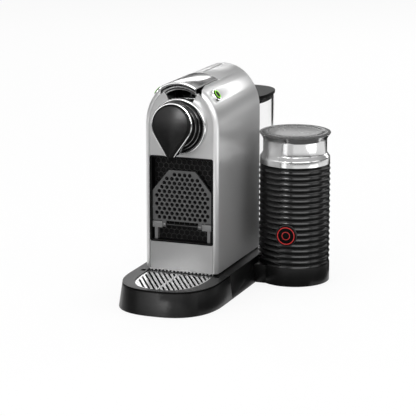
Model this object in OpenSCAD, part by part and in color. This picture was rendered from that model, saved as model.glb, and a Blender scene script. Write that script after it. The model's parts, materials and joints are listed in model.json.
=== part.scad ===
// A capsule coffee machine with a milk frother docked at its right side.
// X runs to the right, Y to the back and Z up. The origin is on the surface that it
// stands on, under the middle of the body's front face.

/* [Body] */
// Width of the body
body_w = 97.8; // [94:0.1:104]
// Depth of the body, from its front face to its back
body_d = 158; // [154:0.5:170]
// Height of the arched top above the standing surface
body_h = 277; // [273:0.5:285]
// Rise of the arch above its straight sides
arch_h = 57; // [54:0.5:60]
// Wall of the moulded half-shells
shell_wall = 2.6; // [2.2:0.1:3]
// Width and depth of the rounded rim round the front
rim_w = 6; // [5:0.1:6.5]
// Thickness of the rear cover
rear_t = 3; // [2.4:0.1:4]
// Gap between neighbouring casing parts
part_gap = 0.3; // [0.2:0.05:0.4]
// Width of the vent slot along the top seam
vent_w = 2.2; // [1:0.1:2.6]
// Distance that the vent slot starts behind the lever
vent_start = 12; // [8:0.5:20]
// Distance that the vent slot ends ahead of the back
vent_end = 7; // [4:0.5:20]

/* [Base] */
// Height of the base's top edge
base_h = 32; // [30:0.5:34]
// Width of the ledge on each side of the body
ledge_w = 12.5; // [11:0.1:14]
// How much wider each side of the base is at its foot
base_draft = 4; // [2:0.1:5]
// How much further the tray's nose reaches at its foot
front_draft = 6.8; // [4:0.1:8]
// Wall of the base moulding
base_wall = 2.8; // [2.2:0.1:3.2]
// Height of the step that the body's shells stand on
seat_h = 2; // [1.5:0.1:3]
// How far that step is set in from the shell
seat_inset = 1.2; // [0.8:0.1:2]
// Thickness of the rubber feet
foot_h = 1; // [0.8:0.1:2]
// Radius of the rubber feet
foot_r = 7; // [5:0.5:8]
// Thickness of the base's bottom plate
plate_t = 2; // [1.6:0.1:2.4]
// Shank radius of the base screws
screw_r = 1.5; // [1.2:0.05:1.8]

/* [Drip tray] */
// Reach of the tray's top edge ahead of the body
tray_reach = 92; // [84:0.5:100]
// Distance ahead of the body where the tray's nose starts to curve
tray_straight = 18.75; // [12:0.25:24]
// Squareness of the curved nose, where 2 is an ellipse
tray_square = 2.57; // [2.2:0.01:3]
// Distance behind the front face where tray and base meet
tray_joint = 10; // [8:0.5:12]
// Wall of the tray
tray_wall = 2.4; // [2:0.1:2.8]
// Distance from the shell's side in to the grid
grid_inset = 4.8; // [4:0.1:6]
// Width of the tray's rim ahead of the grid
tray_rim = 7.5; // [6:0.5:10]
// Thickness of the steel grid
grid_t = 1.6; // [1.2:0.1:2]
// Width of the grid's slots
grid_slot = 2.6; // [1.6:0.1:3.2]
// Width of the bars between them
grid_bar = 3.2; // [2:0.1:4]
// Angle of the grid's bars from straight across, degrees
grid_angle = 59; // [0:1:80]
// Width of the ledge that carries the grid
grid_ledge = 2; // [1.5:0.1:3]
// Depth of the grid's top below the tray's rim
grid_drop = 1; // [0.5:0.1:2]

/* [Drawer] */
// Height of the lower edge of the recess
recess_z = 70; // [66:0.5:76]
// Depth of the recess's upper edge below the top
recess_down = 96; // [95:0.5:99]
// Depth of the recess
recess_d = 12; // [10.5:0.5:14]
// Wall of the recess and of the capsule bin
drawer_wall = 1.6; // [1.2:0.1:2]
// Depth of the drawer behind the front face
drawer_d = 95; // [85:0.5:96]
// Half width of the drawer's runner
tongue_half = 40; // [38:0.5:41]
// Height of the capsule bin's rim
bin_top = 150; // [120:1:170]
// Running gap round the drawer
slide_gap = 0.5; // [0.3:0.05:0.8]

/* [Cup shelf] */
// Height of the shelf's hinge
shelf_z = 92; // [90:0.5:96]
// Gap between the shelf and each side of the recess
shelf_side = 0.8; // [0.5:0.1:4]
// Room above the shelf when it is folded up
shelf_head = 16.4; // [10:0.1:30]
// Thickness of the shelf
shelf_t = 3.6; // [3:0.1:4.5]
// Distance of the hinge behind the front face
shelf_y = 5; // [4.5:0.1:6]
// Radius of the hinge pin
shelf_pin_r = 1.5; // [1.2:0.05:1.8]
// Width of each hinge block
block_w = 13; // [10:0.5:16]

/* [Brew head] */
// Depth of the head's axis below the top
head_down = 55.5; // [54:0.5:57]
// Outer radius of the silver collar
collar_r = 35.5; // [34:0.1:37]
// How far the collar stands out of the panel
collar_out = 8; // [6:0.1:10]
// Width of the collar's ring
collar_w = 2.6; // [2:0.1:3.5]
// Depth of the middle of the nose below the top
nose_down = 49; // [47:0.5:51]
// Radius of the nose's round part
nose_r = 26.1; // [24:0.1:27]
// How far the nose's rear edge stands ahead of the panel
nose_out = 31; // [28:0.5:34]
// Lean of the nose, its lower end forward
nose_tilt = 7.5; // [4:0.5:9]
// Angle of the nose's tapering sides
nose_taper = 34; // [32:0.5:35]
// Thickness of the nose's glossy cover
nose_t = 4.4; // [3.5:0.1:6]
// Thickness of the chrome trim behind the cover
trim_t = 1.4; // [1:0.1:2]
// Width of the bright edge seen round the nose cover
trim_w = 1.1; // [0.5:0.1:1.5]
// Radius of the coffee spout
spout_r = 5.4; // [5:0.1:6]
// Radius of the spout's bore
spout_bore_r = 3.4; // [3.2:0.1:3.8]
// Length of the spout below the nose
spout_l = 5.6; // [5:0.1:5.8]

/* [Lever] */
// Width of the lever
lever_w = 46; // [44:0.5:47]
// How far the lever's lip reaches ahead of the front face
lever_lip = 8.5; // [6:0.5:11]
// Distance of the lever's rear edge behind the front face
lever_rear = 67.5; // [66:0.5:69]
// Thickness of the lever's chrome cover
lever_t = 2.6; // [2.2:0.1:3]
// How far the lever stands above the shell
lever_raise = 0.8; // [0.4:0.1:1.2]
// Gap beside the lever
lever_gap = 1.2; // [0.4:0.1:1.6]
// How much wider than the lever the opening is at its front, each side
wedge_w = 4.5; // [2:0.5:5]
// How far back that wedge runs
wedge_l = 22; // [10:1:30]
// Distance of the lever's pin behind the front face
pivot_y = 44; // [43:0.5:45]
// Depth of the lever's pin below the top
pivot_down = 29; // [28:0.5:30]
// Radius of the lever's pin
pivot_r = 3; // [2.5:0.1:3.2]
// Thickness of the lever's arms
arm_t = 3; // [2.5:0.1:3.4]

/* [Buttons] */
// Angle of the buttons round the arch, from the top
button_angle = 49; // [47:0.5:51]
// Distance of the buttons behind the front face
button_y = 23; // [20:0.5:30]
// Outer radius of a button's ring
button_ring_r = 8.2; // [7.6:0.1:8.6]
// Radius of a button's cap
button_r = 6.2; // [5.6:0.1:6.6]
// How far a cap stands out of the shell
button_out = 4.6; // [4:0.1:5.5]
// Travel of a button
button_travel = 1.5; // [1:0.1:1.8]

/* [Brew unit] */
// Depth of the capsule cage's axis below the top
cage_down = 51; // [50.5:0.5:53]
// Outer radius of the capsule cage
cage_r = 17; // [16.5:0.1:17.4]
// Inner radius of the capsule cage
cage_bore_r = 14.5; // [13.5:0.1:15]
// Length of the capsule cage
cage_l = 24; // [22:0.5:26]
// Travel of the cage as the lever opens
cage_travel = 22; // [18:0.5:24]
// Radius of the cage's guide rods
rod_r = 2.5; // [2:0.1:2.8]
// Distance of the guide rods from the middle
rod_x = 19; // [18.5:0.1:19.5]
// Depth of the guide rods below the top
rod_down = 66; // [65:0.5:68]
// Thickness of the brew frame's cheeks
cheek_t = 3; // [2.5:0.1:3.5]
// Thickness of the chassis plate
chassis_t = 3; // [2.5:0.1:4]
// Radius of the water pump
pump_r = 18; // [16:0.5:19]
// Height of the water pump
pump_h = 60; // [50:1:70]
// Height of the heating block
heater_h = 55; // [45:1:60]

/* [Water tank] */
// Half width of the tank
tank_half = 43.5; // [41:0.5:46]
// Depth of the tank
tank_d = 106; // [98:0.5:112]
// Height of the tank's rim
tank_h = 226; // [215:0.5:232]
// Wall of the tank
tank_wall = 2.2; // [1.8:0.1:2.8]
// Thickness of the tank's lid
lid_t = 4; // [3:0.1:5]
// Overhang of the lid past the tank
lid_over = 1.2; // [0.8:0.1:2]
// Depth of the lid's plug
lid_plug = 7; // [5:0.5:9]
// Gap between the body's back and the tank
tank_gap = 3; // [2.4:0.1:5]
// Margin of the base behind the tank
base_back = 6; // [5:0.5:9]
// Radius of the water inlet under the tank
inlet_r = 5; // [4:0.1:6]
// Bore radius of the mains cord's gland
gland_r = 3.6; // [3.2:0.1:4]

/* [Frother] */
// Outer radius of the frother's ribs
froth_r = 46.2; // [45:0.1:48]
// Gap between the base's top edge and the frother
froth_gap = -2; // [-2.4:0.1:4]
// Distance of the frother's axis behind the front face
froth_y = 134.8; // [125:0.5:140]
// Height of the plinth that it docks on
plinth_h = 25; // [22:0.5:28]
// Pitch of the ribs
rib_pitch = 7.3; // [6:0.1:9]
// Depth of the valleys between the ribs
rib_depth = 1.6; // [1:0.1:2]
// Height of the top of the ribbed casing
froth_casing_h = 156.5; // [150:0.5:160]
// Wall of the ribbed casing
froth_wall = 3; // [2.6:0.1:3.4]
// Height of the steel jug's rim
jug_h = 195; // [190:0.5:200]
// Neck radius of the steel jug
neck_r = 41.4; // [40.5:0.1:42]
// Wall of the steel jug
jug_wall = 1.4; // [1.2:0.1:1.8]
// Height of the jug's floor
jug_floor = 75; // [70:1:85]
// Thickness of the frother's lid
froth_lid_t = 2.4; // [2:0.1:3]
// Radius of the frother's button
froth_button_r = 12.5; // [11:0.1:13]
// Height of the frother's button
froth_button_z = 69; // [60:0.5:80]
// How far that button is turned to the right of the front
froth_button_turn = 5; // [0:0.5:10]
// Radius of the whisk's ring
whisk_r = 14; // [10:0.5:18]

/* [Hidden] */

$fn = 64;
eps = 0.01;
far = 400;
arch_steps = 48;
d_steps = 36;
run_fit = 0.05;         // radial clearance of a pin that turns or slides in its bore

spring_z = body_h - arch_h;
head_z = body_h - head_down;
nose_z = body_h - nose_down;
pivot_z = body_h - pivot_down;
cage_z = body_h - cage_down;
rod_z = body_h - rod_down;
recess_top = body_h - recess_down;
body_foot = base_h + seat_h;
panel_y = part_gap;
rim_t = shell_wall;
flange_y = rim_t + 1.6;
base_half = body_w/2 + ledge_w;
grid_half = body_w/2 - grid_inset;
grid_front = -tray_reach + tray_rim;
grid_z = base_h - grid_drop - grid_t;
tray_nose_y = -tray_straight;
front_half = body_w/2 - rim_w;      // half width of the opening between the front rims

tank_front = body_d + tank_gap;
tank_back = tank_front + tank_d;
tank_y = (tank_front + tank_back)/2;
base_rear = tank_back + base_back - base_draft;
tank_seat_z = base_h + 1;
cradle_h = base_h + 5;

tongue_z = foot_h + plate_t + 2;
tongue_floor = tongue_z + tray_wall;
tub_half = front_half - slide_gap;
tub_back = recess_d + drawer_wall;
bin_half = tongue_half - tray_wall - part_gap;
bin_y = tub_back + part_gap;

shelf_half = tub_half - drawer_wall - shelf_side;
shelf_top = recess_top - drawer_wall - shelf_head;
block_x = shelf_half - block_w;
shelf_front = shelf_y - shelf_t/2;
shelf_cut = 0.41*(shelf_top - shelf_z - 4);
shelf_cut_w = 0.56*shelf_half;
knuckle_r = shelf_pin_r + 2;
block_top = shelf_z + 4;

panel_hole_r = collar_r - 4.5;
drum_r = collar_r - collar_w - part_gap;
spigot_r = panel_hole_r - part_gap;
spigot_y = 8;
nose_drop = nose_r + 12;
nose_y = panel_y - nose_out - trim_t;
nose_foot = nose_z - nose_drop - 1;
trim_r = nose_r + 0.5;
spout_y = nose_y - sin(nose_tilt)*nose_drop + spout_r + 1.2;

arm_x = lever_w/2 - 1.5 - arm_t;
cheek_x = lever_w/2 + 2;
cheek_top = pivot_z + pivot_r + 2;
notch_low = head_z + collar_r - 5;
notch_half = 16;
frame_y = spigot_y + part_gap;
cross_y = frame_y + part_gap + cage_l + cage_travel + 8;
cage_y = frame_y + 0.7;
chassis_y = drawer_d + 3;
rear_y = chassis_y + chassis_t + part_gap;
heater_z = rod_z - 8 - heater_h;
board_z = heater_z - 24;
board_rear = body_d - rear_t - 3.7;
chip_pitch = (board_rear - rear_y - 11)/3;
pipe_z = (base_h + 23 + pump_h + heater_z)/2;

button_x = body_w/2*sin(button_angle);
button_z = spring_z + arch_h*cos(button_angle);
button_lean = atan2(arch_h*sin(button_angle), body_w/2*cos(button_angle));

froth_x = base_half + froth_r + froth_gap;
froth_base = plinth_h + part_gap;
socket_r = 12;
socket_h = 6;
jug_r = froth_r - rib_depth - froth_wall - 1;
band_r = froth_r - 0.7;
band_top = froth_casing_h + 9;
neck_z = band_top + 6;
flare_z = jug_h - 7;
casing_floor = froth_base + socket_h + part_gap + 2;
hole_pitch = 6.85;       // between the holes of the cup shelf
hole_rise = 5.6;         // between its rows of holes
hole_r = 2.45;
knuckle_l = 5;           // length of each of the shelf's two hinge knuckles
gland_y = base_rear + base_draft;
gland_l = 16;
pocket_r = froth_r + 2*part_gap;
meter_x = 24;
meter_y = rear_y + 20;
hose_r = 3;

// One coordinate of a superellipse from the cosine or sine of its angle
function se(v) = sign(v)*pow(abs(v), 2/tray_square);

// Outline with a straight middle and a rounded front and back
function d_pts(half, front, back, y_front, y_back) = concat(
    [for (i = [0:d_steps]) let (t = 180*i/d_steps)
        [half*se(cos(t)), y_front - (y_front - front)*se(sin(t))]],
    [for (i = [0:d_steps]) let (t = 180*i/d_steps)
        [-half*se(cos(t)), y_back + (back - y_back)*se(sin(t))]]);

// Outline of the body in X and Z, drawn in by an inset and cut off at the foot
function arch_pts(inset, foot) = let (a = body_w/2 - inset, b = arch_h - inset) concat(
    [[-a, foot], [a, foot]],
    [for (i = [0:arch_steps]) let (t = 180*i/arch_steps) [a*cos(t), spring_z + b*sin(t)]]);

// Height of that outline at x
function arch_z(x, inset) =
    spring_z + (arch_h - inset)*sqrt(1 - pow(x/(body_w/2 - inset), 2));

// Teardrop of the nose: a round top whose tangents run down to a narrow foot
function tear_pts(r, drop) = let (foot_x = (r - drop*sin(nose_taper))/cos(nose_taper)) concat(
    [[-foot_x, -drop], [foot_x, -drop]],
    [for (i = [0:arch_steps]) let (t = -nose_taper + (180 + 2*nose_taper)*i/arch_steps)
        [r*cos(t), r*sin(t)]]);

// Rounded rectangle from corner to corner
function round_pts(x0, y0, x1, y1, r) = [for (k = [0:3], i = [0:6])
    let (t = 90*k + 15*i, cx = (k == 0 || k == 3) ? x1 - r : x0 + r, cy = k < 2 ? y1 - r : y0 + r)
        [cx + r*cos(t), cy + r*sin(t)]];

// Profile of the ribbed casing, rib by rib
function rib_r(z) = froth_r - rib_depth*pow(abs(sin(180*(z - froth_base)/rib_pitch)), 0.8);

module along_y(y0, y1) translate([0, y1, 0]) rotate([90, 0, 0]) linear_extrude(y1 - y0) children();
module along_x(x0, x1) translate([x0, 0, 0]) rotate([90, 0, 90]) linear_extrude(x1 - x0) children();
module box(x0, y0, z0, x1, y1, z1) translate([x0, y0, z0]) cube([x1 - x0, y1 - y0, z1 - z0]);
module pair() for (s = [0, 1]) mirror([s, 0, 0]) children();
module ahead_of(y) box(-far, -far, -far, far, y, far);
module behind(y) box(-far, y, -far, far, far, far);

// ---- base ----

module base_form(inset, z0, z1) hull() for (z = [z0, z1 - eps]) let (k = 1 - z/base_h)
    translate([0, 0, z]) linear_extrude(eps) polygon(d_pts(
        base_half + base_draft*k - inset, -tray_reach - front_draft*k + inset,
        base_rear + base_draft*k - inset, tray_nose_y, tank_y));

module tank_outline(grow) polygon(d_pts(tank_half + grow, tank_front - grow,
    tank_back + grow, tank_y, tank_y));

module screw_places() pair() for (y = [tray_joint + 22, tank_y + 8])
    translate([base_half - 12, y, 0]) children();

module base_shell() color("#1b1b1d") difference() {
    union() {
        difference() {
            intersection() {
                base_form(0, foot_h, base_h);
                behind(tray_joint + part_gap);
            }
            intersection() {
                base_form(base_wall, foot_h - 1, base_h - base_wall);
                behind(tray_joint + part_gap + base_wall);
            }
        }
        intersection() {
            base_form(0, foot_h, base_h);
            translate([froth_x, froth_y, plinth_h - base_wall])
                cylinder(r = pocket_r + base_wall, h = base_h);
        }
        box(-body_w/2 + seat_inset, tray_joint + part_gap, base_h - eps,
            body_w/2 - seat_inset, body_d - seat_inset, body_foot);
        translate([0, 0, base_h - eps]) linear_extrude(cradle_h - base_h) difference() {
            tank_outline(part_gap + 1.6);
            tank_outline(part_gap);
        }
        screw_places() translate([0, 0, foot_h + plate_t])
            cylinder(r = screw_r + 2.5, h = base_h - foot_h - plate_t - 1);
    }
    box(-tongue_half - slide_gap, -far, foot_h + plate_t, tongue_half + slide_gap,
        drawer_d + slide_gap, far);
    box(-body_w/2 + shell_wall + seat_inset, drawer_d, base_h,
        body_w/2 - shell_wall - seat_inset, body_d - shell_wall - seat_inset, far);
    screw_places() cylinder(r = screw_r + run_fit, h = base_h - base_wall);
    translate([0, tank_front + 22, 0]) cylinder(r = inlet_r + run_fit, h = far);
    gland_place() cylinder(r = gland_r + 2.4 + run_fit, h = 30, center = true);
    translate([meter_x, meter_y, base_h / 2]) cylinder(r = hose_r + run_fit, h = base_h);
    translate([froth_x, froth_y, plinth_h]) cylinder(r = pocket_r, h = base_h);
}

module base_plate() color("#202022") difference() {
    intersection() {
        base_form(base_wall + part_gap, foot_h, foot_h + plate_t);
        behind(tray_joint + base_wall + 2*part_gap);
    }
    screw_places() {
        cylinder(r = screw_r + run_fit, h = 20);
        translate([0, 0, -eps]) cylinder(r = 2*screw_r + 0.3, h = foot_h + plate_t/2 + 0.1);
    }
}

module base_screws() color("#9a9a9c") screw_places() {
    translate([0, 0, foot_h]) cylinder(r = 2*screw_r, h = plate_t/2);
    translate([0, 0, foot_h + plate_t/2 - eps]) cylinder(r = screw_r, h = 16);
}

module rubber_feet() color("#101010") {
    pair() for (y = [tray_joint + 10, tank_y - 14])
        translate([base_half - 12, y, 0]) cylinder(r = foot_r, h = foot_h);
    for (a = [-70, 70]) translate([froth_x, froth_y, 0]) rotate([0, 0, a])
        translate([froth_r - 14, 0, 0]) cylinder(r = foot_r, h = foot_h);
}

module front_stay() color("#b6b7b9") {
    linear_extrude(foot_h - part_gap) hull() {
        circle(r = foot_r);
        translate([-foot_r, tray_joint]) square([2*foot_r, 20]);
    }
    box(-foot_r, tray_joint + base_wall + 2*part_gap, 0, foot_r, tray_joint + 20, foot_h);
}

module frother_dock() color("#1b1b1d") difference() {
    union() {
        translate([froth_x, froth_y, foot_h]) cylinder(r = froth_r, h = plinth_h - foot_h);
        box(0, froth_y - 38, foot_h, froth_x, froth_y + 38, plinth_h);
    }
    base_form(-part_gap/2, foot_h - 1, base_h);
}

module dock_connector() color("#2c2c2e") translate([froth_x, froth_y, plinth_h]) {
    cylinder(r = socket_r, h = socket_h);
    translate([0, 0, socket_h - eps]) cylinder(r = 3, h = 1);
}

module inlet_spigot() color("#3a3a3c") translate([0, tank_front + 22, 0]) difference() {
    union() {
        translate([0, 0, base_h - base_wall - 8]) cylinder(r = inlet_r, h = base_wall + 8 + 5);
        translate([0, 0, base_h]) cylinder(r = inlet_r + 2, h = 0.7);
    }
    translate([0, 0, base_h - base_wall - 9]) cylinder(r = inlet_r - 2, h = 60);
}

module gland_place() translate([0, gland_y, base_h/2]) rotate([90, 0, 0]) children();

module cord_gland() color("#161616") gland_place() difference() {
    union() {
        cylinder(r = gland_r + 2.4, h = gland_l);
        translate([0, 0, 6]) cylinder(r = gland_r + 4.4, h = 3);
    }
    translate([0, 0, -1]) cylinder(r = gland_r, h = gland_l + 2);
}

// ---- body shells ----

module shell_form() hull() for (i = [0:5]) let (t = 18*i)
    along_y(rim_w*(1 - cos(t)), i == 5 ? body_d : rim_w*(1 - cos(t)) + eps)
        polygon(arch_pts(rim_w*(1 - sin(t)), body_foot));

// Space that the lever's rear edge turns through, with a running gap
module lever_sweep() translate([0, pivot_y, pivot_z]) rotate([0, 90, 0]) rotate_extrude()
    polygon(concat([[0, lever_w/2 + lever_gap], [0, -lever_w/2 - lever_gap]],
        [for (i = [-8:8]) let (x = i/8*(lever_w/2 + lever_gap)) [part_gap
            + norm([lever_rear - pivot_y, arch_z(x, -lever_raise) - pivot_z]), x]]));

module front_notch() along_y(-1, flange_y + 1) polygon([
    [-notch_half, notch_low], [notch_half, notch_low],
    [lever_w/2 + 2, body_h - 9], [lever_w/2 + 2, body_h + 5],
    [-lever_w/2 - 2, body_h + 5], [-lever_w/2 - 2, body_h - 9]]);

module lever_opening() {
    box(-lever_w/2 - lever_gap, -1, cheek_top, lever_w/2 + lever_gap, lever_rear + part_gap, far);
    lever_sweep();
    pair() translate([0, 0, cheek_top]) linear_extrude(far) polygon([[0, -1],
        [lever_w/2 + wedge_w, -1], [lever_w/2 + lever_gap, wedge_l], [0, wedge_l]]);
    pair() box(lever_w/2 - lever_gap, lever_rear - 10, cheek_top,
        lever_w/2 + lever_gap, lever_rear + 6.5, far);
}

module button_place(s) mirror([s, 0, 0]) translate([button_x, button_y, button_z])
    rotate([0, button_lean, 0]) children();

module half_shell(s) color("#a6a8aa") difference() {
    intersection() {
        shell_form();
        mirror([s, 0, 0]) box(part_gap/2, -1, 0, far, far, far);
    }
    along_y(rim_t, body_d + 1) polygon(arch_pts(shell_wall, body_foot - 1));
    along_y(-1, rim_t + 1) polygon(arch_pts(rim_w, body_foot - 1));
    lever_opening();
    front_notch();
    button_place(s) cylinder(r = button_ring_r + run_fit, h = 20, center = true);
    box(-vent_w/2, lever_rear + vent_start, spring_z, vent_w/2, body_d - vent_end, far);
}

module right_shell() half_shell(0);
module left_shell() half_shell(1);

module rear_cover() color("#1e1e20") difference() {
    along_y(body_d - rear_t, body_d - part_gap) polygon(arch_pts(shell_wall + part_gap, body_foot));
    for (i = [0:5]) box(-25, body_d - 5, spring_z - 60 + 9*i, 25, body_d + 1, spring_z - 57 + 9*i);
}

module seam_strip() color("#141414") intersection() {
    difference() {
        along_y(lever_rear + vent_start - 2, body_d - rear_t - part_gap)
            polygon(arch_pts(shell_wall + part_gap/2, spring_z));
        along_y(0, body_d) polygon(arch_pts(shell_wall + part_gap/2 + 1.6, 0));
        lever_sweep();
    }
    box(-8, 0, spring_z, 8, body_d, far);
}

module front_panel() color("#a6a8aa") difference() {
    union() {
        along_y(panel_y, flange_y) polygon(arch_pts(rim_w + part_gap/2, recess_top + slide_gap));
        along_y(rim_t, flange_y) polygon(arch_pts(shell_wall + part_gap, recess_top + slide_gap));
    }
    translate([0, 0, head_z]) rotate([90, 0, 0]) cylinder(r = panel_hole_r, h = 30, center = true);
    front_notch();
    box(-lever_w/2 - lever_gap, -1, cheek_top + 6, lever_w/2 + lever_gap, 20, far);
}

// ---- brew head ----

module at_head(y, z) translate([0, y, z]) rotate([90, 0, 0]) children();
module at_nose() translate([0, nose_y, nose_z]) rotate([90 - nose_tilt, 0, 0]) children();

module head_collar() color("#b8babc") at_head(panel_y, head_z) rotate_extrude($fn = 96) polygon([
    [drum_r + part_gap, 0], [collar_r, 0], [collar_r, collar_out - 1.2],
    [collar_r - 0.4, collar_out - 0.4], [collar_r - 1.2, collar_out],
    [drum_r + part_gap, collar_out]]);

module head_drum() color("#111112") difference() {
    union() {
        at_head(spigot_y, head_z) cylinder(r = spigot_r, h = spigot_y - panel_y + eps);
        at_head(panel_y, head_z) cylinder(r = drum_r, h = collar_out - 1, $fn = 96);
        at_head(panel_y, head_z + 1.6) cylinder(r = drum_r - 2, h = 15, $fn = 96);
        at_head(panel_y, head_z + 3.4) cylinder(r = drum_r - 4.2, h = 22.5, $fn = 96);
        at_nose() translate([0, 0, -trim_t - 13]) linear_extrude(13)
            polygon(tear_pts(nose_r - 0.3, nose_drop + 4));
    }
    at_head(spigot_y + eps, cage_z) cylinder(r = cage_r + 2, h = 5);
    box(-far, -far, 0, far, 0, nose_foot);
}

module nose_trim() color("#dcdcdc") difference() {
    at_nose() translate([0, 0, -trim_t]) linear_extrude(trim_t)
        polygon(tear_pts(trim_r, nose_drop + 4));
    at_nose() translate([0, 0, -1]) linear_extrude(trim_t)
        polygon(tear_pts(nose_r - 1.2, nose_drop + 8));
    box(-far, -far, 0, far, 0, nose_foot);
}

module nose_cover() color("#0c0c0d") difference() {
    at_nose() {
        hull() for (i = [0:4]) let (t = 22.5*i)
            translate([0, 0, nose_t*sin(t)*0.98]) linear_extrude(eps)
                polygon(tear_pts(trim_r - trim_w - 2.9*(1 - cos(t)), nose_drop + 4));
        translate([0, 0, -1 + eps]) linear_extrude(1)
            polygon(tear_pts(nose_r - 1.2 - run_fit, nose_drop + 4));
    }
    box(-far, -far, 0, far, 0, nose_foot);
}

module coffee_spout() color("#0c0c0d") translate([0, spout_y, nose_foot - spout_l]) difference() {
    cylinder(r = spout_r, h = spout_l);
    translate([0, 0, -1]) cylinder(r = spout_bore_r, h = spout_l + 2);
}

module brew_plate() color("#c9c9c9") at_head(spigot_y - 2, cage_z) difference() {
    cylinder(r = cage_r + 2 - run_fit, h = 3 - eps);
    for (a = [0:60:300]) rotate([0, 0, a]) translate([9, 0, -1]) cylinder(r = 1.5, h = 6);
}

module slot_liner() color("#0e0e0f") difference() {
    union() {
        pair() box(arm_x + arm_t + 0.5, frame_y, cheek_top - 6, cheek_x - part_gap, pivot_y - 8,
            body_h - 11);
        box(-cheek_x + part_gap, flange_y + part_gap/2, notch_low - 8, cheek_x - part_gap, frame_y + 1,
            notch_low + 2);
    }
    at_head(spigot_y + part_gap, head_z) cylinder(r = spigot_r + part_gap, h = 20);
    for (s = [0, 1]) button_place(s) translate([0, 0, -6.4 - part_gap])
        cylinder(r = button_ring_r + 0.8 + part_gap, h = 20);
    along_y(0, far) difference() {
        translate([-far/2, 0]) square([far, far]);
        polygon(arch_pts(shell_wall + part_gap, 0));
    }
}

// ---- brew unit and chassis ----

module brew_frame() color("#4a4b4e") difference() {
    union() {
        pair() box(cheek_x, frame_y, rod_z - 11, cheek_x + cheek_t, chassis_y, cheek_top);
        box(-cheek_x - eps, cross_y, rod_z - 11, cheek_x + eps, cross_y + 3, pivot_z - 15);
    }
    at_pivot() cylinder(r = pivot_r + run_fit, h = far, center = true);
    rod_places() cylinder(r = rod_r + run_fit/2, h = far, center = true);
    at_head(cross_y + 10, cage_z) cylinder(r = 5, h = 20);
}

module at_pivot() translate([0, pivot_y, pivot_z]) rotate([0, 90, 0]) children();
module rod_places() pair() translate([rod_x, cross_y, rod_z]) rotate([90, 0, 0]) children();

module guide_rods() color("#c4c4c6") rod_places() translate([0, 0, -3])
    cylinder(r = rod_r, h = cross_y + 3 - frame_y);

module lever_pin() color("#c4c4c6") at_pivot()
    cylinder(r = pivot_r, h = 2*(cheek_x + cheek_t), center = true);

module capsule_cage() color("#d9d4c8") difference() {
    union() {
        at_head(cage_y + cage_l, cage_z) cylinder(r = cage_r, h = cage_l);
        pair() translate([rod_x, cage_y + cage_l, rod_z]) rotate([90, 0, 0])
            cylinder(r = rod_r + 2, h = cage_l);
        box(-rod_x, cage_y + 4, rod_z - 2, rod_x, cage_y + cage_l - 2, rod_z + 5);
    }
    at_head(cage_y + cage_l - 4, cage_z) cylinder(r = cage_bore_r, h = cage_l);
    rod_places() cylinder(r = rod_r + run_fit, h = far, center = true);
}

module chassis() color("#4a4b4e") difference() {
    box(-body_w/2 + shell_wall + part_gap, chassis_y, base_h + eps,
        body_w/2 - shell_wall - part_gap, chassis_y + chassis_t, rod_z + 8);
    pair() box(body_w/2 - shell_wall - part_gap - 8, 0, 0, far, far, body_foot);
    at_head(chassis_y + 10, cage_z - 20) cylinder(r = 8, h = 20);
}

module heating_block() color("#b5b6b8") difference() {
    union() {
        box(-26, rear_y, heater_z, 26, rear_y + 36, rod_z - 8);
        translate([0, rear_y + 18, rod_z - 8 - eps]) cylinder(r = 14, h = 8);
    }
    for (i = [0:4]) box(-22 + 10*i, rear_y + 30, heater_z + 4, -18 + 10*i,
        rear_y + 40, rod_z - 12);
}

module water_pump() color("#8e8f92") translate([-pump_r - 6, rear_y + pump_r + 3, base_h]) {
    translate([0, 0, 14]) cylinder(r = pump_r, h = pump_h);
    translate([0, 0, 4]) cylinder(r = 4, h = 11);
    translate([0, 0, 14 + pump_h - eps]) cylinder(r = 4, h = 9);
}

module pump_seat() color("#171717") translate([-pump_r - 6, rear_y + pump_r + 3, base_h + eps])
    difference() {
        cylinder(r = 11, h = 14 - 2*eps);
        translate([0, 0, 3]) cylinder(r = 4 + run_fit, h = 20);
    }

module flow_meter() color("#e2ded2") translate([meter_x, meter_y, base_h + eps]) {
    cylinder(r = 13, h = 16);
    translate([0, 0, 16 - eps]) cylinder(r = 3.4, h = 10);
}

module circuit_board() color("#1e5a36") {
    box(-body_w/2 + shell_wall + part_gap, rear_y + 4, board_z, -body_w/2 + shell_wall + part_gap + 1.6,
        board_rear, rod_z - 20);
    for (i = [0:2]) box(-body_w/2 + shell_wall + part_gap + 1.6 - eps, rear_y + 10 + chip_pitch*i, board_z + 8,
        -body_w/2 + shell_wall + 10, rear_y + 18 + chip_pitch*i, board_z + 22 + 8*i);
}

// A run of pipe through a list of points, with a round elbow fitting at each bend
module pipe_run(points, r) for (i = [0:len(points) - 2])
    let (a = points[i], b = points[i + 1], d = b - a) {
        translate(a) rotate([0, acos(d[2]/norm(d)), atan2(d[1], d[0])])
            cylinder(r = r, h = norm(d), $fn = 32);
        if (i > 0) translate(a) sphere(r = 1.35*r, $fn = 32);
    }

module suction_hose() color("#d8d8d2") pipe_run([
    [0, tank_front + 22, base_h - base_wall - 8 - eps], [0, tank_front + 22, 14],
    [meter_x, meter_y, 14], [meter_x, meter_y, base_h]], hose_r);

module pressure_pipe() color("#e6e6e0") let (x = -pump_r - 6, y = rear_y + pump_r + 3)
    pipe_run([[x, y, base_h + 23 + pump_h], [x, y, pipe_z],
        [x + 8, rear_y + 18, pipe_z], [x + 8, rear_y + 18, heater_z - part_gap]], 2);

// ---- buttons ----

module button_ring(s) color("#d2d4d6") button_place(s) difference() {
    union() {
        translate([0, 0, -6.4]) cylinder(r = button_ring_r, h = 6.4 + button_out - 1.4);
        translate([0, 0, -6.4]) cylinder(r = button_ring_r + 0.8, h = 1.6);
    }
    translate([0, 0, -5]) cylinder(r = button_r + part_gap, h = 20);
}

module button_cap(s) color("#e8e8e8") button_place(s) {
    translate([0, 0, -3]) cylinder(r = button_r, h = 3 + button_out);
}

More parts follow.
